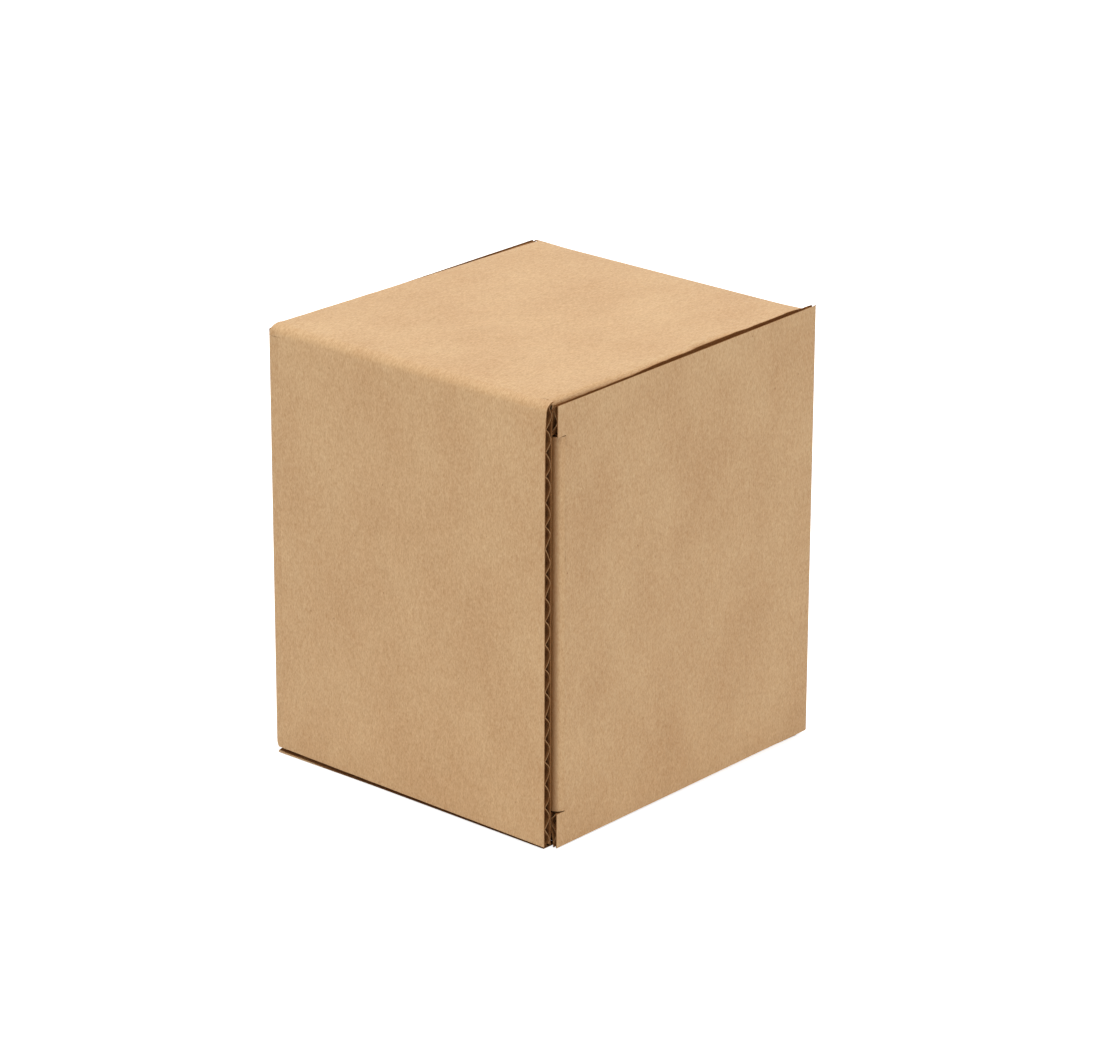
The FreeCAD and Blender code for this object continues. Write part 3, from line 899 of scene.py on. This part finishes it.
def wall_give(point):
    """How far a point of the carton lies inside its true place."""
    x, y, z = point
    ends = ease((RAW_X - abs(x)) / GIVE_ENDS)
    front_ends = max(ends, hump(x, *FRONT_GIVES))
    give = 0.0
    corners = ((-HALF_Y, HEIGHT_Z, between(GIVE_FRONT, ease(x / HALF_X)), front_ends),
               (HALF_Y, HEIGHT_Z, GIVE_BACK, ends), (HALF_Y, 0.0, GIVE_BACK, ends))
    for corner_y, corner_z, depth, share in corners:
        away = abs(y - corner_y) + abs(z - corner_z)
        if away < GIVE_REACH:
            give += depth * share * math.exp(-max(0.0, away - WALL_FOLD) / GIVE_FADE)
    if abs(y) < HALF_Y - BESIDE_FOLD:
        inside = ease((WANDER_Y - abs(y)) / GIVE_ENDS)
    else:
        inside = ease((WANDER_Z - abs(z - HEIGHT_Z / 2)) / GIVE_ENDS)
    return give + WANDER * ends * inside * (0.5 + 0.5 * ripple(x / 26, y / 31, z / 29))


print("the walls give", round(wall_give((40.0, -HALF_Y, 110.0)), 2), "mm near the upper front fold")


# %% Carton
HARDLY_NOSE = 0.2
NOSE_LIP = 0.35
FRONT_LIP = 0.8
SLIT_NEAR = 0.05
SLIT_TOP = 0.8
CORNER_NEAR = 0.01


def carton_goes_on(a, b):
    """The walls go on into the creases of the lids at both ends."""
    return both_at(a, b, 0, CREASE_START_X) or both_at(a, b, 0, -CREASE_START_X)


def flap_slit(a, b):
    """End and sides of the knife slits that free the dust flaps, where nothing gapes."""
    at_end = both_at(np.abs(a), np.abs(b), 0, FLAP_FOLD_X)
    beside = both_at(np.abs(a), np.abs(b), 1, FLAP_CREASE_EDGE, within=SLIT_NEAR)
    left = max(a[0], b[0]) < -FLAP_FOLD_X - 2
    front = max(a[1], b[1]) < -HALF_Y + WALL_FOLD + CORNER_NEAR
    below = HEIGHT_Z - min(a[2], b[2])
    return at_end or (beside and below < SLIT_TOP) or (left and front and below < WALL_FOLD + CORNER_NEAR)


carton_board = Board(goes_on=carton_goes_on, move=wall_give, slit_end=flap_slit)
add_tube(carton_board)
for turned in (False, True):
    for upper in (True, False):
        add_dust_flap(carton_board, upper, turned)
carton = carton_board.mesh("carton_board")

# Painted shade: in the slit between the front wall and the nose under it, the paper takes the dark colour of
# a cut
for polygon in carton.data.polygons:
    x, y, z = (value / MM for value in polygon.center)
    lip = -NOSE_OUT[1] + NOSE_LIP if nose_share(x) > HARDLY_NOSE else -HALF_Y + FRONT_LIP
    if lip < y < -TAB_FACE + 0.1 and z < FRONT_LOW_LEFT and polygon.material_index == OUTSIDE:
        polygon.material_index = CUT
print("carton:", len(carton.data.polygons), "faces,", len(carton_board.cut_edges()), "cut edges")

# %% [markdown]
# ## Tuck lids
#
# A lid is a panel with a tuck folded in along its free side. Two knife slits free the ends of the tuck, and
# outside them the panel goes on a little, which leaves the notches where the flutes show. The two lids are
# the same piece, half a turn apart, but each was cut a little out of square in its own way.

# %% Panel of a lid
NOTCH_Y = -HALF_Y + BOARD + 0.8
LEFT_NOTCH_Y = NOTCH_Y - 0.6
SLIT_LENGTH = 3.0
SLIT_WIDTH = 0.24
EDGE_ROWS = 4.0

# Heights of the cut edges of the lids at the tuck and at the crease
RIGHT_EDGES = {"tuck_low": 0.3, "tuck_high": 118.5, "crease_low": 1.8, "crease_high": 121.2}
LEFT_EDGES = {"tuck_low": 2.6, "tuck_high": 119.7, "crease_low": 3.5, "crease_high": 118.2}


def lid_heights(edges, y, levels):
    """Heights of the rows of a lid at a place along Y, with the outermost rows on its cut edges."""
    share = (y - NOTCH_Y) / (HALF_Y - BOARD - NOTCH_Y)
    low = between((edges["tuck_low"], edges["crease_low"]), share)
    high = between((edges["tuck_high"], edges["crease_high"]), share)
    heights = []
    for level in levels:
        if level < EDGE_ROWS:
            heights.append(low + (EDGE_ROWS - low) * level / EDGE_ROWS)
        elif level > HEIGHT_Z - EDGE_ROWS:
            heights.append(high - (high - HEIGHT_Z + EDGE_ROWS) * (HEIGHT_Z - level) / EDGE_ROWS)
        else:
            heights.append(level)
    return heights


SLIT_LOW = (NOTCH_HEIGHT - SLIT_WIDTH / 2, NOTCH_HEIGHT + SLIT_WIDTH / 2)
SLIT_HIGH = (HEIGHT_Z - SLIT_LOW[1], HEIGHT_Z - SLIT_LOW[0])
LOW_LEVELS = spread(0, EDGE_ROWS, 1) + spread(EDGE_ROWS, SLIT_LOW[0], 1)[1:]
TUCK_LEVELS = spread(SLIT_LOW[1], SLIT_HIGH[0], FLAP_CELL)
HIGH_LEVELS = [HEIGHT_Z - level for level in reversed(LOW_LEVELS)]
PANEL_LEVELS = LOW_LEVELS + TUCK_LEVELS + HIGH_LEVELS
SLIT_END_Y = NOTCH_Y + SLIT_LENGTH
FOLD_CENTRE = (HALF_X - TUCK_FOLD, -HALF_Y + BOARD + TUCK_GAP + TUCK_FOLD)
PANEL_START = (math.pi / 2 - 1) * CREASE_ROLL + CREASE_START_X + CREASE_REACH


def pinch(y, z, turned):
    """How much thinner a lid is at a place than the board it was cut from."""
    return max(0.0, bulge(y, min(z, HEIGHT_Z - z), turned, z > HEIGHT_Z / 2))


def add_panel(board, edges, places, levels, turned):
    """Flat part of the lid between two places along Y. Rows run from the crease to the tuck."""
    outer, inner, flat = [], [], []
    for y in places:
        heights = lid_heights(edges, y, levels)
        outer.append([(HALF_X, y, z) for z in reversed(heights)])
        inner.append([(HALF_X - BOARD + pinch(y, z, turned), y, z) for z in reversed(heights)])
        flat.append([(PANEL_START + CREASE_END_Y - y, -z) for z in reversed(heights)])
    board.stretch(outer, inner, flat)


print("a lid is thinned by", round(pinch(30.0, 0.0, False), 2), "mm over the fold of a lower dust flap")

# %% [markdown]
# The tuck turns round a fold a little rounder than the board is thick. Its crevice is where the light dies
# out, and that shade is painted: each point of the fold gets a value of painted shade, from none halfway
# round to most where it goes under.

# %% Tuck, painted crevice shade and lids
TUCK_LEAN = math.radians(5.7)
TUCK_CORNER = 9.0
TUCK_TURN = 0.13
TUCK_CELL = 1.5
NOTCH_CELL = 0.75
LID_BOW = 0.14
BOW_Y = (46, 14)
BOW_Z = (56, 12)
SLIT_REACH = 1.2
# Painted shade in the crevice: how strong it is and where on the fold it lies
SHADE = 0.85
SHADE_FROM = 1.4
SHADE_REACH = 3.5


def add_tuck(board):
    """The strip between the slits: the end of the panel, the fold, and the tuck with its corners cut off."""
    turn = math.pi / 2 + TUCK_LEAN
    centre_x, centre_y = FOLD_CENTRE
    along = (-math.cos(TUCK_LEAN), math.sin(TUCK_LEAN))
    start = PANEL_START + CREASE_END_Y - SLIT_END_Y
    rows = [((HALF_X, SLIT_END_Y), (HALF_X - BOARD, SLIT_END_Y), start, 0.0)]
    for angle in spread(0, turn, TUCK_TURN):
        pair = [(centre_x + r * math.cos(angle), centre_y - r * math.sin(angle))
                for r in (TUCK_FOLD, TUCK_FOLD - BOARD)]
        rows.append((*pair, start + SLIT_END_Y - centre_y + TUCK_FOLD * angle, 0.0))
    corner = rows[-1]
    for reach in spread(0, TUCK_LENGTH, TUCK_CELL)[1:]:
        pair = [(p[0] + along[0] * reach, p[1] + along[1] * reach) for p in corner[:2]]
        trim = max(0.0, reach - TUCK_LENGTH + TUCK_CORNER) / 2
        rows.append((*pair, corner[2] + reach, trim))
    outer, inner, flat = [], [], []
    middle = HEIGHT_Z / 2
    half = middle - SLIT_LOW[1]
    for (x, y), (x_in, y_in), u, trim in rows:
        heights = [middle + (z - middle) * (half - trim) / half for z in reversed(TUCK_LEVELS)]
        outer.append([(x, y, z) for z in heights])
        inner.append([(x_in, y_in, z) for z in heights])
        flat.append([(u, -z) for z in heights])
    board.stretch(outer, inner, flat)


def lid_give(point):
    """The panel of a lid bows by a hair between its edges."""
    x, y, z = point
    if x <= HALF_X - 0.5:
        return 0.0
    inside = ease((BOW_Y[0] - abs(y)) / BOW_Y[1]) * ease((BOW_Z[0] - abs(z - HEIGHT_Z / 2)) / BOW_Z[1])
    return LID_BOW * inside * (0.5 + 0.5 * ripple(y / 24, z / 27, 4.0))


def tuck_slit(a, b):
    """Both sides of the knife slits at the ends of the tuck."""
    at_slit = [min(abs(place[2] - z) for z in SLIT_LOW + SLIT_HIGH) < CLOSE for place in (a, b)]
    return all(at_slit) and min(a[0], b[0]) > HALF_X - SLIT_REACH


def lid_goes_on(a, b):
    return both_at(a, b, 1, CREASE_END_Y)


def paint_crevice_shade(lid):
    """Writes on each point of the tuck's fold how much painted shade it gets, by how deep in the crevice it
    lies.
    """
    shade = lid.data.attributes.new(CREVICE_SHADE_ATTRIBUTE, "FLOAT", "POINT")
    for n, vertex in enumerate(lid.data.vertices):
        x, y, z = (abs(value) / MM for value in vertex.co)
        in_fold = HALF_X - SHADE_REACH < x < HALF_X and SLIT_LOW[1] - 0.1 < z < SLIT_HIGH[0] + 0.1
        outer = math.hypot(x - FOLD_CENTRE[0], y + FOLD_CENTRE[1]) > TUCK_FOLD - 0.1
        if in_fold and outer:
            shade.data[n].value = SHADE * ease((y + FOLD_CENTRE[1] - SHADE_FROM) / (TUCK_FOLD - SHADE_FROM))


def make_lid(name, edges, turned):
    """Panel, tuck and the two corners beside it, at the right end or, turned, at the left one."""
    board = Board(goes_on=lid_goes_on, move=lid_give, slit_end=tuck_slit)
    add_panel(board, edges, spread(CREASE_END_Y, SLIT_END_Y, CELL), PANEL_LEVELS, turned)
    add_tuck(board)
    ends = spread(SLIT_END_Y, LEFT_NOTCH_Y if turned else NOTCH_Y, NOTCH_CELL)
    add_panel(board, edges, ends, LOW_LEVELS, turned)
    add_panel(board, edges, ends, HIGH_LEVELS, turned)
    lid = board.mesh(name, turned)
    paint_crevice_shade(lid)
    return lid


right_lid = make_lid("right_lid_board", RIGHT_EDGES, turned=False)
left_lid = make_lid("left_lid_board", LEFT_EDGES, turned=True)
print("lids:", len(right_lid.data.polygons), "and", len(left_lid.data.polygons), "faces")

# %% [markdown]
# ## Creases of the lids
#
# A lid and the wall that it hangs on are one sheet, bent along a crease. The crease is a piece of its own
# here, between the wall and the lid. At its one end it is as high as the wall, under the top fold, and
# while it turns it rises to the lid's height.
# At the left end of the box its foot also drops to the wall's lower edge.

# %% One crease
CREASE_WALL_TOP = HEIGHT_Z - WALL_FOLD - 0.02
CREASE_SLOT = 0.8
RIGHT_RISE = (22, 42)
LEFT_RISE = (24, 48)
LEAST_RISE = 0.06
LEFT_DROP = 1.5
DROP_TURN = 48
DROP_HEIGHT = 3.0
CREASE_CELL = 0.5


def crease_goes_on(a, b):
    return both_at(a, b, 0, CREASE_START_X) or both_at(a, b, 1, CREASE_END_Y)


def make_crease(name, edges, turned):
    """Bent strip that starts as high as the wall and ends as high as the lid."""
    centre = (HALF_X - CREASE_ROLL, HALF_Y - CREASE_ROLL)
    section = [((x, HALF_Y), (x, HALF_Y - BOARD), 0) for x in spread(CREASE_START_X, centre[0], CREASE_CELL)]
    wall_rows = len(section)
    for angle in spread(0, 90, 9)[1:]:
        turn = math.radians(angle)
        section.append((*((centre[0] + r * math.sin(turn), centre[1] + r * math.cos(turn))
                          for r in (CREASE_ROLL, CREASE_ROLL - BOARD)), angle))
    lid_rows = spread(centre[1], CREASE_END_Y, CREASE_CELL)[1:]
    section += [((HALF_X, y), (HALF_X - BOARD, y), 90) for y in lid_rows]
    low, high = edges["crease_low"], edges["crease_high"]
    rise_from, rise_to = LEFT_RISE if turned else RIGHT_RISE
    wall_low = low + 0.02 if turned else WALL_FOLD + 0.2
    drop = LEFT_DROP if turned else 0.0
    below_high = min(CREASE_WALL_TOP + 1, high - 0.3)
    levels = sorted([low, high, wall_low, CREASE_WALL_TOP, below_high]
                    + spread(EDGE_ROWS + 0.4, HEIGHT_Z - EDGE_ROWS, FLAP_CELL), reverse=True)
    outer, inner, flat = [], [], []
    length, before = CREASE_START_X, section[0][0]
    for point, partner, angle in section:
        length += math.dist(before, point)
        before = point
        rise = ease((angle - rise_from) / (rise_to - rise_from))
        risen = 1 - max(rise, LEAST_RISE)
        heights = [z - risen * max(0.0, z - CREASE_WALL_TOP) for z in levels]
        dropped = drop * (1 - ease(angle / DROP_TURN))
        heights = [z - dropped * max(0.0, (low + DROP_HEIGHT - z) / DROP_HEIGHT) for z in heights]
        thin = [pinch(point[1], z, turned) / BOARD * ease(angle / rise_to) for z in heights]
        outer.append([(*point, z) for z in heights])
        inner.append([(*(q + (p - q) * t for p, q in zip(point, partner)), z) for z, t in zip(heights, thin)])
        flat.append([(length, -z) for z in heights])

    def beside_the_wall(i, j):
        above = levels[j + 1] >= CREASE_WALL_TOP - SAME
        below = levels[j] <= wall_low + SAME
        return i < wall_rows - 1 and (above or below)

    board = Board(goes_on=crease_goes_on, slot_across=CREASE_SLOT)
    board.stretch(outer, inner, flat, beside_the_wall)
    return board.mesh(name, turned)


right_crease = make_crease("right_crease_board", RIGHT_EDGES, turned=False)
left_crease = make_crease("left_crease_board", LEFT_EDGES, turned=True)
print("creases:", len(right_crease.data.polygons), "faces each")

# %% [markdown]
# ## Fluted medium
#
# Between the liners runs the medium, a paper pressed into waves 6.3 mm long. It shows wherever the flutes
# are cut across: at the raw edge of the front wall, in the notches of the lids, and at the ends of tucks
# and flaps. This is what Geometry Nodes are for: one tree takes a line, waves it, and draws a strip of paper
# along it. Its inputs are the sizes of the wave, and a seed for the small faults of real flutes.

# %% Geometry Nodes tree of the medium
WAVE_HEIGHT = BOARD - 2 * LINER - 0.16
MEDIUM_PAPER = 0.26
MEDIUM_DEPTH = SLOT_ACROSS - 0.8
MEDIUM_FAULT = 0.35
FAULT_SCALE = 0.9
POINTS_A_WAVE = 20.0
FACING_UP = 0.7


def medium_tree():
    """Tree that waves a line and draws a strip of paper along it, and its sockets' identifiers by name."""
    tree = bpy.data.node_groups.new("fluted_medium", "GeometryNodeTree")
    numbers = {"Pitch": FLUTE_PITCH * MM, "Wave Height": WAVE_HEIGHT * MM, "Paper": MEDIUM_PAPER * MM,
               "Depth": MEDIUM_DEPTH * MM, "Fault": MEDIUM_FAULT, "Lean": 1.0, "Phase": 0.0, "Seed": 0.0}
    kinds = {"Line": "Geometry", **{name: "Float" for name in numbers},
             "Edge Material": "Material", "Flank Material": "Material"}
    sockets = {}
    for name, kind in kinds.items():
        socket = tree.interface.new_socket(name, in_out="INPUT", socket_type="NodeSocket" + kind)
        if name in numbers:
            socket.default_value = numbers[name]
        sockets[name] = socket.identifier
    tree.interface.new_socket("Geometry", in_out="OUTPUT", socket_type="NodeSocketGeometry")
    given = tree.nodes.new("NodeGroupInput").outputs
    line = add_node(tree, "GeometryNodeMeshToCurve", {"Mesh": given["Line"]}).outputs[0]
    step = sum_node(tree, "DIVIDE", given["Pitch"], POINTS_A_WAVE)
    line = add_node(tree, "GeometryNodeResampleCurve", {"Curve": line, "Length": step},
                    mode="LENGTH").outputs[0]
    along = add_node(tree, "GeometryNodeSplineParameter").outputs["Length"]
    waves = sum_node(tree, "DIVIDE", along, given["Pitch"])
    seeded = sum_node(tree, "ADD", waves, given["Seed"])
    faults = add_node(tree, "ShaderNodeTexNoise", {"W": seeded, "Scale": FAULT_SCALE, "Detail": 1.0},
                      noise_dimensions="1D").outputs[0]
    slip = sum_node(tree, "MULTIPLY", sum_node(tree, "SUBTRACT", faults, 0.5), given["Fault"])
    turn = sum_node(tree, "ADD", sum_node(tree, "ADD", waves, slip), given["Phase"])
    wave = sum_node(tree, "SINE", sum_node(tree, "MULTIPLY", turn, 2 * math.pi))
    lifted = sum_node(tree, "POWER", sum_node(tree, "MULTIPLY_ADD", wave, 0.5, 0.5), given["Lean"])
    height = sum_node(tree, "MULTIPLY", sum_node(tree, "SUBTRACT", lifted, 0.5), given["Wave Height"])
    tangent = add_node(tree, "GeometryNodeInputTangent").outputs[0]
    side = add_node(tree, "ShaderNodeVectorMath", {0: tangent, 1: (0, 0, 1)},
                    operation="CROSS_PRODUCT").outputs[0]
    offset = add_node(tree, "ShaderNodeVectorMath", {0: side, "Scale": height}, operation="SCALE").outputs[0]
    line = add_node(tree, "GeometryNodeSetPosition", {"Geometry": line, "Offset": offset}).outputs[0]
    line = add_node(tree, "GeometryNodeSetCurveNormal", {"Curve": line}, mode="Z_UP").outputs[0]
    strip = add_node(tree, "GeometryNodeCurvePrimitiveQuadrilateral",
                     {"Width": given["Paper"], "Height": given["Depth"]}).outputs[0]
    paper = add_node(tree, "GeometryNodeCurveToMesh", {"Curve": line, "Profile Curve": strip,
                                                       "Fill Caps": True}).outputs[0]
    real = add_node(tree, "GeometryNodeRealizeInstances", {"Geometry": paper}).outputs[0]
    # The flanks of the strip take the flank material, painted shade deep in the flutes; faces on the cut edge
    # keep the medium's paper
    dark = add_node(tree, "GeometryNodeSetMaterial", {"Geometry": real, "Material": given["Flank Material"]})
    normal = add_node(tree, "GeometryNodeInputNormal").outputs[0]
    upright = sum_node(tree, "ABSOLUTE", add_node(tree, "ShaderNodeSeparateXYZ", {0: normal}).outputs[2])
    on_edge = add_node(tree, "FunctionNodeCompare", {0: upright, 1: FACING_UP}, data_type="FLOAT",
                       operation="GREATER_THAN").outputs[0]
    done = add_node(tree, "GeometryNodeSetMaterial", {"Geometry": dark.outputs[0], "Selection": on_edge,
                                                      "Material": given["Edge Material"]})
    result = tree.nodes.new("NodeGroupOutput")
    tree.links.new(done.outputs[0], result.inputs[0])
    return tree, sockets


MEDIUM_TREE, MEDIUM_SOCKETS = medium_tree()
print("medium tree:", len(MEDIUM_TREE.nodes), "nodes, inputs", list(MEDIUM_SOCKETS))

# %% [markdown]
# The line of each strip lies halfway between the liners, in the plane of the cut. It is drawn flat, in X and
# Y, with the depth of the board's flutes along Z, and then carried to its place by the three directions of
# the cut: across the picture, up it, and into the board. All strips of one body become one mesh.

# %% One strip of medium in its cut
MEDIUM_SETBACK = 0.12


def medium_strip(points, phase, seed, origin, axes, lean=1.0):
    """Mesh of one strip. points make a flat line, and axes say where its X, its Y and its depth lie."""
    mesh = bpy.data.meshes.new("line")
    edges = [(k, k + 1) for k in range(len(points) - 1)]
    mesh.from_pydata([(a * MM, b * MM, 0) for a, b in points], edges, [])
    line = bpy.data.objects.new("line", mesh)
    bpy.context.scene.collection.objects.link(line)
    modifier = line.modifiers.new("medium", "NODES")
    modifier.node_group = MEDIUM_TREE
    settings = {"Lean": lean, "Phase": phase, "Seed": seed, "Edge Material": medium_paper,
                "Flank Material": flute_shade}
    for name, value in settings.items():
        modifier[MEDIUM_SOCKETS[name]] = value
    bpy.context.view_layer.update()
    evaluated = line.evaluated_get(bpy.context.evaluated_depsgraph_get())
    strip = bpy.data.meshes.new_from_object(evaluated)
    line.modifiers.remove(modifier)
    bpy.data.objects.remove(line)

    first, second, inward = (Vector(axis) for axis in axes)
    middle = Vector(origin) * MM + inward * (MEDIUM_DEPTH / 2 + MEDIUM_SETBACK) * MM
    strip.transform(Matrix.Translation(middle) @ Matrix((first, second, inward)).transposed().to_4x4())
    if first.cross(second).dot(inward) < 0:
        strip.flip_normals()
    return strip


def tube_outward(y, z):
    """Way out of the tube at a place in its walls."""
    beyond_side = np.sign(y) * max(0.0, abs(y) - (HALF_Y - WALL_FOLD))
    beyond_flat = max(0.0, z - (HEIGHT_Z - WALL_FOLD))
    return unit(np.array((0, beyond_side + SAME * np.sign(y), beyond_flat)))


def with_walls(place):
    """A place between the liners of the carton, moved as its walls are."""
    way = tube_outward(place[1], place[2])
    return place - way * wall_give(place + way * BOARD / 2)


def with_rim(place, turned):
    """A place between the liners of a lid, moved to where its crushed edges have it."""
    x, y, z = place
    in_notch = x > HALF_X - BOARD and -HALF_Y < y < NOTCH_Y + MEDIUM_DEPTH + 1
    thin = pinch(y, z, turned) if in_notch else 0.0
    return np.array((HALF_X - (HALF_X - x) * (BOARD - thin) / BOARD, y, z))


def joined_strips(name, strips, moved, turned=False):
    """One object from several strips, with a UV map for the paper."""
    points, faces, kinds = [], [], []
    for strip in strips:
        start = len(points)
        points += [tuple(v.co) for v in strip.vertices]
        faces += [[start + n for n in p.vertices] for p in strip.polygons]
        kinds += [strip.materials[p.material_index] is flute_shade for p in strip.polygons]
    points = [tuple(moved(np.array(point) / MM) * MM) for point in points]
    if turned:
        points = [(-x, -y, z) for x, y, z in points]
    flats = np.array([(x + y * 0.7, z + y * 0.3) for x, y, z in points])
    return paper_object(name, points, faces, kinds, flats, (medium_paper, flute_shade))


print("board is", BOARD, "mm thick, its medium", round(WAVE_HEIGHT, 2), "mm high")


# %% Strips of all pieces
FRONT_LEAN = 0.5
RAW_TURN = 78
RAW_STEPS = 6
END_SHORT = 0.4
NOTCH_SHORT = 0.2
FLAP_SHORT = 0.5


def wall_strips():
    """Strips along the raw ends of the front wall (right) and the back wall (left), and round their folds."""
    middle = BOARD / 2
    fold = arc((HALF_Y - WALL_FOLD, HEIGHT_Z - WALL_FOLD), WALL_FOLD - middle, 0, RAW_TURN, RAW_STEPS)
    front = [(-HALF_Y + middle, FRONT_LOW_RIGHT + END_SHORT)] + [(-y, z) for y, z in fold]
    back = [(HALF_Y - middle, WALL_FOLD)] + fold
    return [medium_strip(front, 0.1, 3.0, (RAW_X, 0, 0), ((0, 1, 0), (0, 0, 1), (-1, 0, 0)), lean=FRONT_LEAN),
            medium_strip(back, 0.4, 8.0, (-RAW_X, 0, 0), ((0, 1, 0), (0, 0, 1), (1, 0, 0)))]


def flap_strips():
    """Strips in the cut ends of the four dust flaps."""
    strips = []
    reach = FLAP_TUCK_EDGE - DUST_TAPER - DUST_CORNER - FLAP_SHORT
    upper, lower = HEIGHT_Z - DUST_FOLD - DUST_LENGTH, DUST_FOLD + DUST_LENGTH
    for sign, height, inward, seed in ((1, upper, 1, 1.0), (1, lower, -1, 2.0),
                                       (-1, upper, 1, 4.0), (-1, lower, -1, 5.0)):
        middle = sign * (FLAP_FACE - BOARD / 2)
        strips.append(medium_strip([(middle, -reach), (middle, reach)], seed / 7, seed, (0, 0, height),
                                   ((1, 0, 0), (0, 1, 0), (0, 0, inward))))
    return strips


def lid_strips(edges, seed, notch):
    """Strips in the two notches of a lid and in the free edge of its tuck."""
    middle = HALF_X - BOARD / 2
    strips = []
    for low, high in ((edges["tuck_low"], SLIT_LOW[0]), (SLIT_HIGH[1], edges["tuck_high"])):
        low, high = low + NOTCH_SHORT, high - NOTCH_SHORT
        strips.append(medium_strip([(middle, low), (middle, high)], 0.3 + seed / 5, seed, (0, notch, 0),
                                   ((1, 0, 0), (0, 0, 1), (0, 1, 0))))
    turn = math.pi / 2 + TUCK_LEAN
    along = Vector((-math.cos(TUCK_LEAN), math.sin(TUCK_LEAN), 0))
    across = Vector((math.cos(turn), -math.sin(turn), 0))
    end = Vector((*FOLD_CENTRE, 0)) + across * (TUCK_FOLD - BOARD / 2) + along * TUCK_LENGTH
    trim = TUCK_CORNER / 2 + END_SHORT
    strips.append(medium_strip([(0, SLIT_LOW[1] + trim), (0, SLIT_HIGH[0] - trim)], 0.6, seed + 9, end,
                               (across, (0, 0, 1), -along)))
    return strips


carton_medium = joined_strips("carton_medium", wall_strips() + flap_strips(), with_walls)
right_medium = joined_strips("right_lid_medium", lid_strips(RIGHT_EDGES, 2.0, NOTCH_Y),
                             lambda place: with_rim(place, False))
left_medium = joined_strips("left_lid_medium", lid_strips(LEFT_EDGES, 6.0, LEFT_NOTCH_Y),
                            lambda place: with_rim(place, True), turned=True)
for piece in (carton_medium, right_medium, left_medium):
    size = [round(value / MM, 1) for value in piece.dimensions]
    print(piece.name, len(piece.data.polygons), "faces, size", size, "mm")

# %% [markdown]
# ## Who moves with what
#
# The folded carton stands still. Each lid turns on its hinge, and its medium goes with it. The creases
# are on no body.

# %% Bodies
RIDERS = ((carton, "carton"), (carton_medium, "carton"), (right_lid, "right_lid"),
          (right_medium, "right_lid"), (left_lid, "left_lid"), (left_medium, "left_lid"))
for piece, body in RIDERS:
    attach(piece, body)
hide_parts("carton_body")
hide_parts("right_lid")
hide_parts("left_lid")

# Each crease keeps its place, with its transform baked into its mesh
for piece, body, sign in ((right_crease, "right_lid", 1), (left_crease, "left_lid", -1)):
    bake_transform(piece)

# %% [markdown]
# ## Floor and light
#
# The photograph has a plain white ground and soft light from above, with both visible sides about equally
# bright. The floor is pale paper that bounces some light back up. To the camera it is white and glows a
# little, so it looks nearly white all over and still darkens where the box takes the light away.

# %% Floor
FLOOR_SIZE = 12.0
FLOOR_GREY = 0.80
FLOOR_GLOW = 0.8
WHITE = (1, 1, 1, 1)


def make_floor():
    mesh = bpy.data.meshes.new("floor")
    half = FLOOR_SIZE / 2
    corners = [(-half, -half, 0), (half, -half, 0), (half, half, 0), (-half, half, 0)]
    mesh.from_pydata(corners, [], [(0, 1, 2, 3)])
    floor = bpy.data.objects.new("floor", mesh)
    bpy.context.scene.collection.objects.link(floor)
    material = bpy.data.materials.new("floor_paper")
    material.use_nodes = True
    tree = material.node_tree
    tree.nodes.clear()
    pale = add_node(tree, "ShaderNodeBsdfDiffuse", {"Color": (FLOOR_GREY, FLOOR_GREY, FLOOR_GREY, 1)})
    seen = add_node(tree, "ShaderNodeBsdfDiffuse", {"Color": WHITE})
    glow = add_node(tree, "ShaderNodeEmission", {"Color": WHITE, "Strength": FLOOR_GLOW})
    lifted = add_node(tree, "ShaderNodeAddShader", {0: seen.outputs[0], 1: glow.outputs[0]})
    path = add_node(tree, "ShaderNodeLightPath")
    chosen = add_node(tree, "ShaderNodeMixShader", {0: path.outputs["Is Camera Ray"], 1: pale.outputs[0],
                                                    2: lifted.outputs[0]})
    add_node(tree, "ShaderNodeOutputMaterial", {"Surface": chosen.outputs[0]})
    mesh.materials.append(material)


make_floor()
print("floor", FLOOR_SIZE, "m across")

# %% [markdown]
# The world gives an even light and is white to the camera and to reflections. One large lamp hangs above and
# a little in front, so that the top is the brightest face and the two sides match.

# %% World and lamp
WORLD_LEVEL = 0.575
KEY_POWER = 34.8
KEY_SIZE = 2.4
KEY_PLACE = (0.35, -0.5, 2.6)


def make_world():
    world = bpy.data.worlds.new("studio")
    world.use_nodes = True
    tree = world.node_tree
    tree.nodes.clear()
    path = add_node(tree, "ShaderNodeLightPath")
    seen = sum_node(tree, "MAXIMUM", path.outputs["Is Camera Ray"], path.outputs["Is Glossy Ray"])
    level = add_node(tree, "ShaderNodeMapRange", {"Value": seen, "From Min": 0.0, "From Max": 1.0,
                                                  "To Min": WORLD_LEVEL, "To Max": 1.0})
    sky = add_node(tree, "ShaderNodeBackground", {"Color": WHITE, "Strength": level.outputs[0]})
    add_node(tree, "ShaderNodeOutputWorld", {"Surface": sky.outputs[0]})
    bpy.context.scene.world = world


def make_lamp(name, place, power, size):
    lamp = bpy.data.lights.new(name, "AREA")
    lamp.shape = "DISK"
    lamp.size = size
    lamp.energy = power
    made = bpy.data.objects.new(name, lamp)
    made.location = place
    aim = Vector((0, 0, HEIGHT_Z / 2 * MM)) - Vector(place)
    made.rotation_euler = aim.to_track_quat("-Z", "Y").to_euler()
    bpy.context.scene.collection.objects.link(made)


make_world()
make_lamp("key", KEY_PLACE, KEY_POWER, KEY_SIZE)
bpy.context.scene.view_settings.view_transform = "Standard"
print("world level", WORLD_LEVEL, "key", KEY_POWER, "W")
